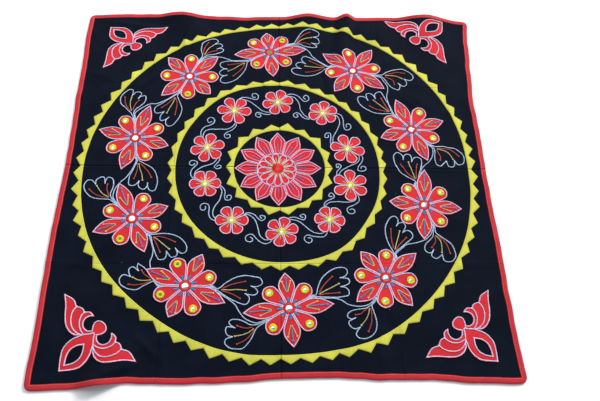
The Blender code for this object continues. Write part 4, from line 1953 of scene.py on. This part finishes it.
class TAPESTRY_OT_small_embroidery(TapestryOperator, Operator):
    """Embroider the ten small flowers and the tendrils between them"""

    bl_idname = "tapestry.small_embroidery"
    bl_label = "Embroider Small Flowers"

    def execute(self, context):
        rng = random.Random(settings().stitch.seed + 1)
        outlines, tan, sky = [], [], []
        for flower in SMALL_FLOWERS:
            for petal in small_flower_petals(flower):
                outlines.append(petal_stitch_line(petal, SMALL_ROOT))
                tan.append([on_petal(petal, (forward, 0)) for forward in SMALL_TAN_LINE])
        for flower, other in neighbours(SMALL_FLOWERS):
            for points in SMALL_VINES:
                drawn = shaky(points, rng, TENDRIL_SHAKE)
                spots = [tendril_point(p, middle(flower), middle(other)) for p in drawn]
                sky += off_flowers(soft_curve(spots, 1.5))
        chain_stitch("small_flower_outlines", outlines, bpy.data.materials["blush_floss"])
        chain_stitch("small_flower_tan_lines", tan, bpy.data.materials["tan_floss"])
        chain_stitch("small_flower_tendrils", sky, bpy.data.materials["sky_floss"])
        return {"FINISHED"}


class TAPESTRY_OT_centre_embroidery(TapestryOperator, Operator):
    """Embroider the centre flower and its medallion"""

    bl_idname = "tapestry.centre_embroidery"
    bl_label = "Embroider Centre Flower"

    def execute(self, context):
        tones = settings().floss
        white, pink, blue, tan = [], [], [], []
        hub = CENTRE_FLOWER + MEDALLION_SHIFT
        edge = MEDALLION_RADIUS + MEDALLION_CLEARANCE
        rising = soft_curve([(forward, -across) for forward, across in CENTRE_PINK_LINE])
        inner_line = rising + [Vector((p.x, -p.y)) for p in reversed(rising[:-1])]
        for petal in centre_flower_petals():
            for lines, points in (
                (white, petal_stitch_line(petal, CENTRE_ROOT)),
                (pink, [on_petal(petal, point) for point in inner_line]),
                (blue, [on_petal(petal, (forward, 0)) for forward in CENTRE_BLUE_LINE]),
            ):
                lines.append([point for point in points if (point - hub).length > edge])
        white.append(circle_line(hub, MEDALLION_RADIUS, 3))
        root = CENTRE_FLOWER.lerp(hub, MEDALLION_ROOT)
        side = [(forward, -across) for forward, across in MEDALLION_PETAL]
        shape = soft_curve(side + list(MEDALLION_PETAL[::-1]))
        for index in range(CENTRE_PETALS):
            clock = CENTRE_TURN + 30 * index
            along, across = by_clock(1, clock), by_clock(1, clock + 90)
            white.append([
                root.lerp(hub, p.x / MEDALLION_PETAL_END) + along * p.x + across * p.y
                for p in shape
            ])
            for turn in RAY_TURNS:
                ray = by_clock(1, clock + turn)
                start = CENTRE_FLOWER + ray * RAY_START
                reach = ray_reach(index, turn)
                tan.append([start, start + ray * RAY_MIDDLE, start + ray * reach])
        chain_stitch("centre_flower_outlines", white, bpy.data.materials["blush_floss"])
        chain_stitch("centre_flower_pink_lines", pink, floss("pink_floss", tones.pink))
        chain_stitch("centre_flower_blue_lines", blue, bpy.data.materials["blue_floss"])
        chain_stitch("centre_flower_rays", tan, bpy.data.materials["tan_floss"])
        return {"FINISHED"}


class TAPESTRY_OT_corner_embroidery(TapestryOperator, Operator):
    """Outline the corner ornaments and their feathers"""

    bl_idname = "tapestry.corner_embroidery"
    bl_label = "Embroider Corner Ornaments"

    def execute(self, context):
        depth = settings().stitch.inset / MM
        lines = []
        outline = clear_inset(turned(ornament_loop()), depth)
        eye = inset(turned(ornament_eye(), anticlockwise=False), depth)
        for corner in CORNERS:
            lines.append(in_corner(outline + outline[:1], corner))
            lines.append(in_corner(eye + eye[:1], corner))
            lines.append(in_corner(soft_curve(CHEVRON), corner))
            for feather in FEATHER_LINES:
                line = soft_curve(feather)
                lines.append(in_corner(line, corner))
                lines.append(in_corner(mirrored(line), corner))
        chain_stitch("corner_outlines", lines, bpy.data.materials["blush_floss"])
        return {"FINISHED"}


class TAPESTRY_OT_sewing(TapestryOperator, Operator):
    """Run the machine stitches along the tape and the edges of the rings"""

    bl_idname = "tapestry.sewing"
    bl_label = "Sew Edges"

    def execute(self, context):
        tones = settings().cotton
        reach = (HALF - TAPE_WIDTH) / MM + SEAM_INSET
        corners = [Vector((x, y)) * reach for x, y in ((-1, 1), (1, 1), (1, -1), (-1, -1))]
        square = broken_line(corners, SEAM_STEP)
        thread = floss("tape_thread", linear(TAPE_THREAD))
        machine_stitch("binding_stitches", [square + square[:1]], thread, "tape")
        lines = []
        for ring in RINGS:
            inner = ring_inner_edge(ring, SEAM_INSET, SEAM_STEP)
            teeth = inset(turned(ring_teeth(ring)), TEETH_SEAM_INSET)
            outer = broken_line(teeth, SEAM_STEP)
            lines += [inner + inner[:1], outer + outer[:1]]
        thread = floss("ring_thread", [c * RING_THREAD_SHARE for c in tones.yellow])
        machine_stitch("ring_stitches", lines, thread, "yellow_applique")
        return {"FINISHED"}


class TAPESTRY_OT_declare(TapestryOperator, Operator):
    """A step that leaves the scene as it is"""

    bl_idname = "tapestry.declare"
    bl_label = "Declare Cloth"

    def execute(self, context):
        return {"FINISHED"}


class TAPESTRY_OT_stage(TapestryOperator, Operator):
    """Set up the pale floor, the soft light and the camera"""

    bl_idname = "tapestry.stage"
    bl_label = "Set Stage"

    def execute(self, context):
        bm = bmesh.new()
        bmesh.ops.create_grid(bm, x_segments=1, y_segments=1, size=FLOOR_SIZE)
        mesh = bpy.data.meshes.new("floor")
        bm.to_mesh(mesh)
        bm.free()
        mesh.materials.append(matt_floor())
        floor = bpy.data.objects.new("floor", mesh)
        floor.location.z = -FLOOR_DROP
        context.scene.collection.objects.link(floor)
        for row in LIGHTS:
            add_light(row)
        world = bpy.data.worlds.new("soft_sky")
        world.use_nodes = True
        backdrop = world.node_tree.nodes["Background"]
        backdrop.inputs["Color"].default_value = SKY_COLOUR
        backdrop.inputs["Strength"].default_value = SKY_STRENGTH
        context.scene.world = world
        context.scene.view_settings.view_transform = "Standard"
        add_camera()
        return {"FINISHED"}


STEPS = (
    TAPESTRY_OT_ground,
    TAPESTRY_OT_binding,
    TAPESTRY_OT_rings,
    TAPESTRY_OT_flowers,
    TAPESTRY_OT_corners,
    TAPESTRY_OT_mirrors,
    TAPESTRY_OT_thread_rings,
    TAPESTRY_OT_large_embroidery,
    TAPESTRY_OT_leaf_sprays,
    TAPESTRY_OT_small_embroidery,
    TAPESTRY_OT_centre_embroidery,
    TAPESTRY_OT_corner_embroidery,
    TAPESTRY_OT_sewing,
    TAPESTRY_OT_declare,
    TAPESTRY_OT_stage,
)


class TAPESTRY_PT_panel(Panel):
    """The steps and sizes of the tapestry"""

    bl_idname = "TAPESTRY_PT_panel"
    bl_label = "Applique Tapestry"
    bl_space_type = "VIEW_3D"
    bl_region_type = "UI"
    bl_category = "Tapestry"

    def draw(self, context):
        for step in STEPS:
            self.layout.operator(step.bl_idname)
        for group in (settings().cloth, settings().stitch, settings().cotton, settings().floss):
            box = self.layout.box()
            for key in group.__annotations__:
                box.prop(group, key)


CLASSES = (
    ClothSizes, StitchSizes, ClothColours, ThreadColours, TapestrySettings, *STEPS,
    TAPESTRY_PT_panel,
)


def register():
    for cls in CLASSES:
        bpy.utils.register_class(cls)
    bpy.types.Scene.tapestry = PointerProperty(type=TapestrySettings)


def unregister():
    del bpy.types.Scene.tapestry
    for cls in reversed(CLASSES):
        bpy.utils.unregister_class(cls)


def main():
    register()
    for step in STEPS:
        group, name = step.bl_idname.split(".")
        getattr(getattr(bpy.ops, group), name)()


if __name__ == "__main__":
    main()
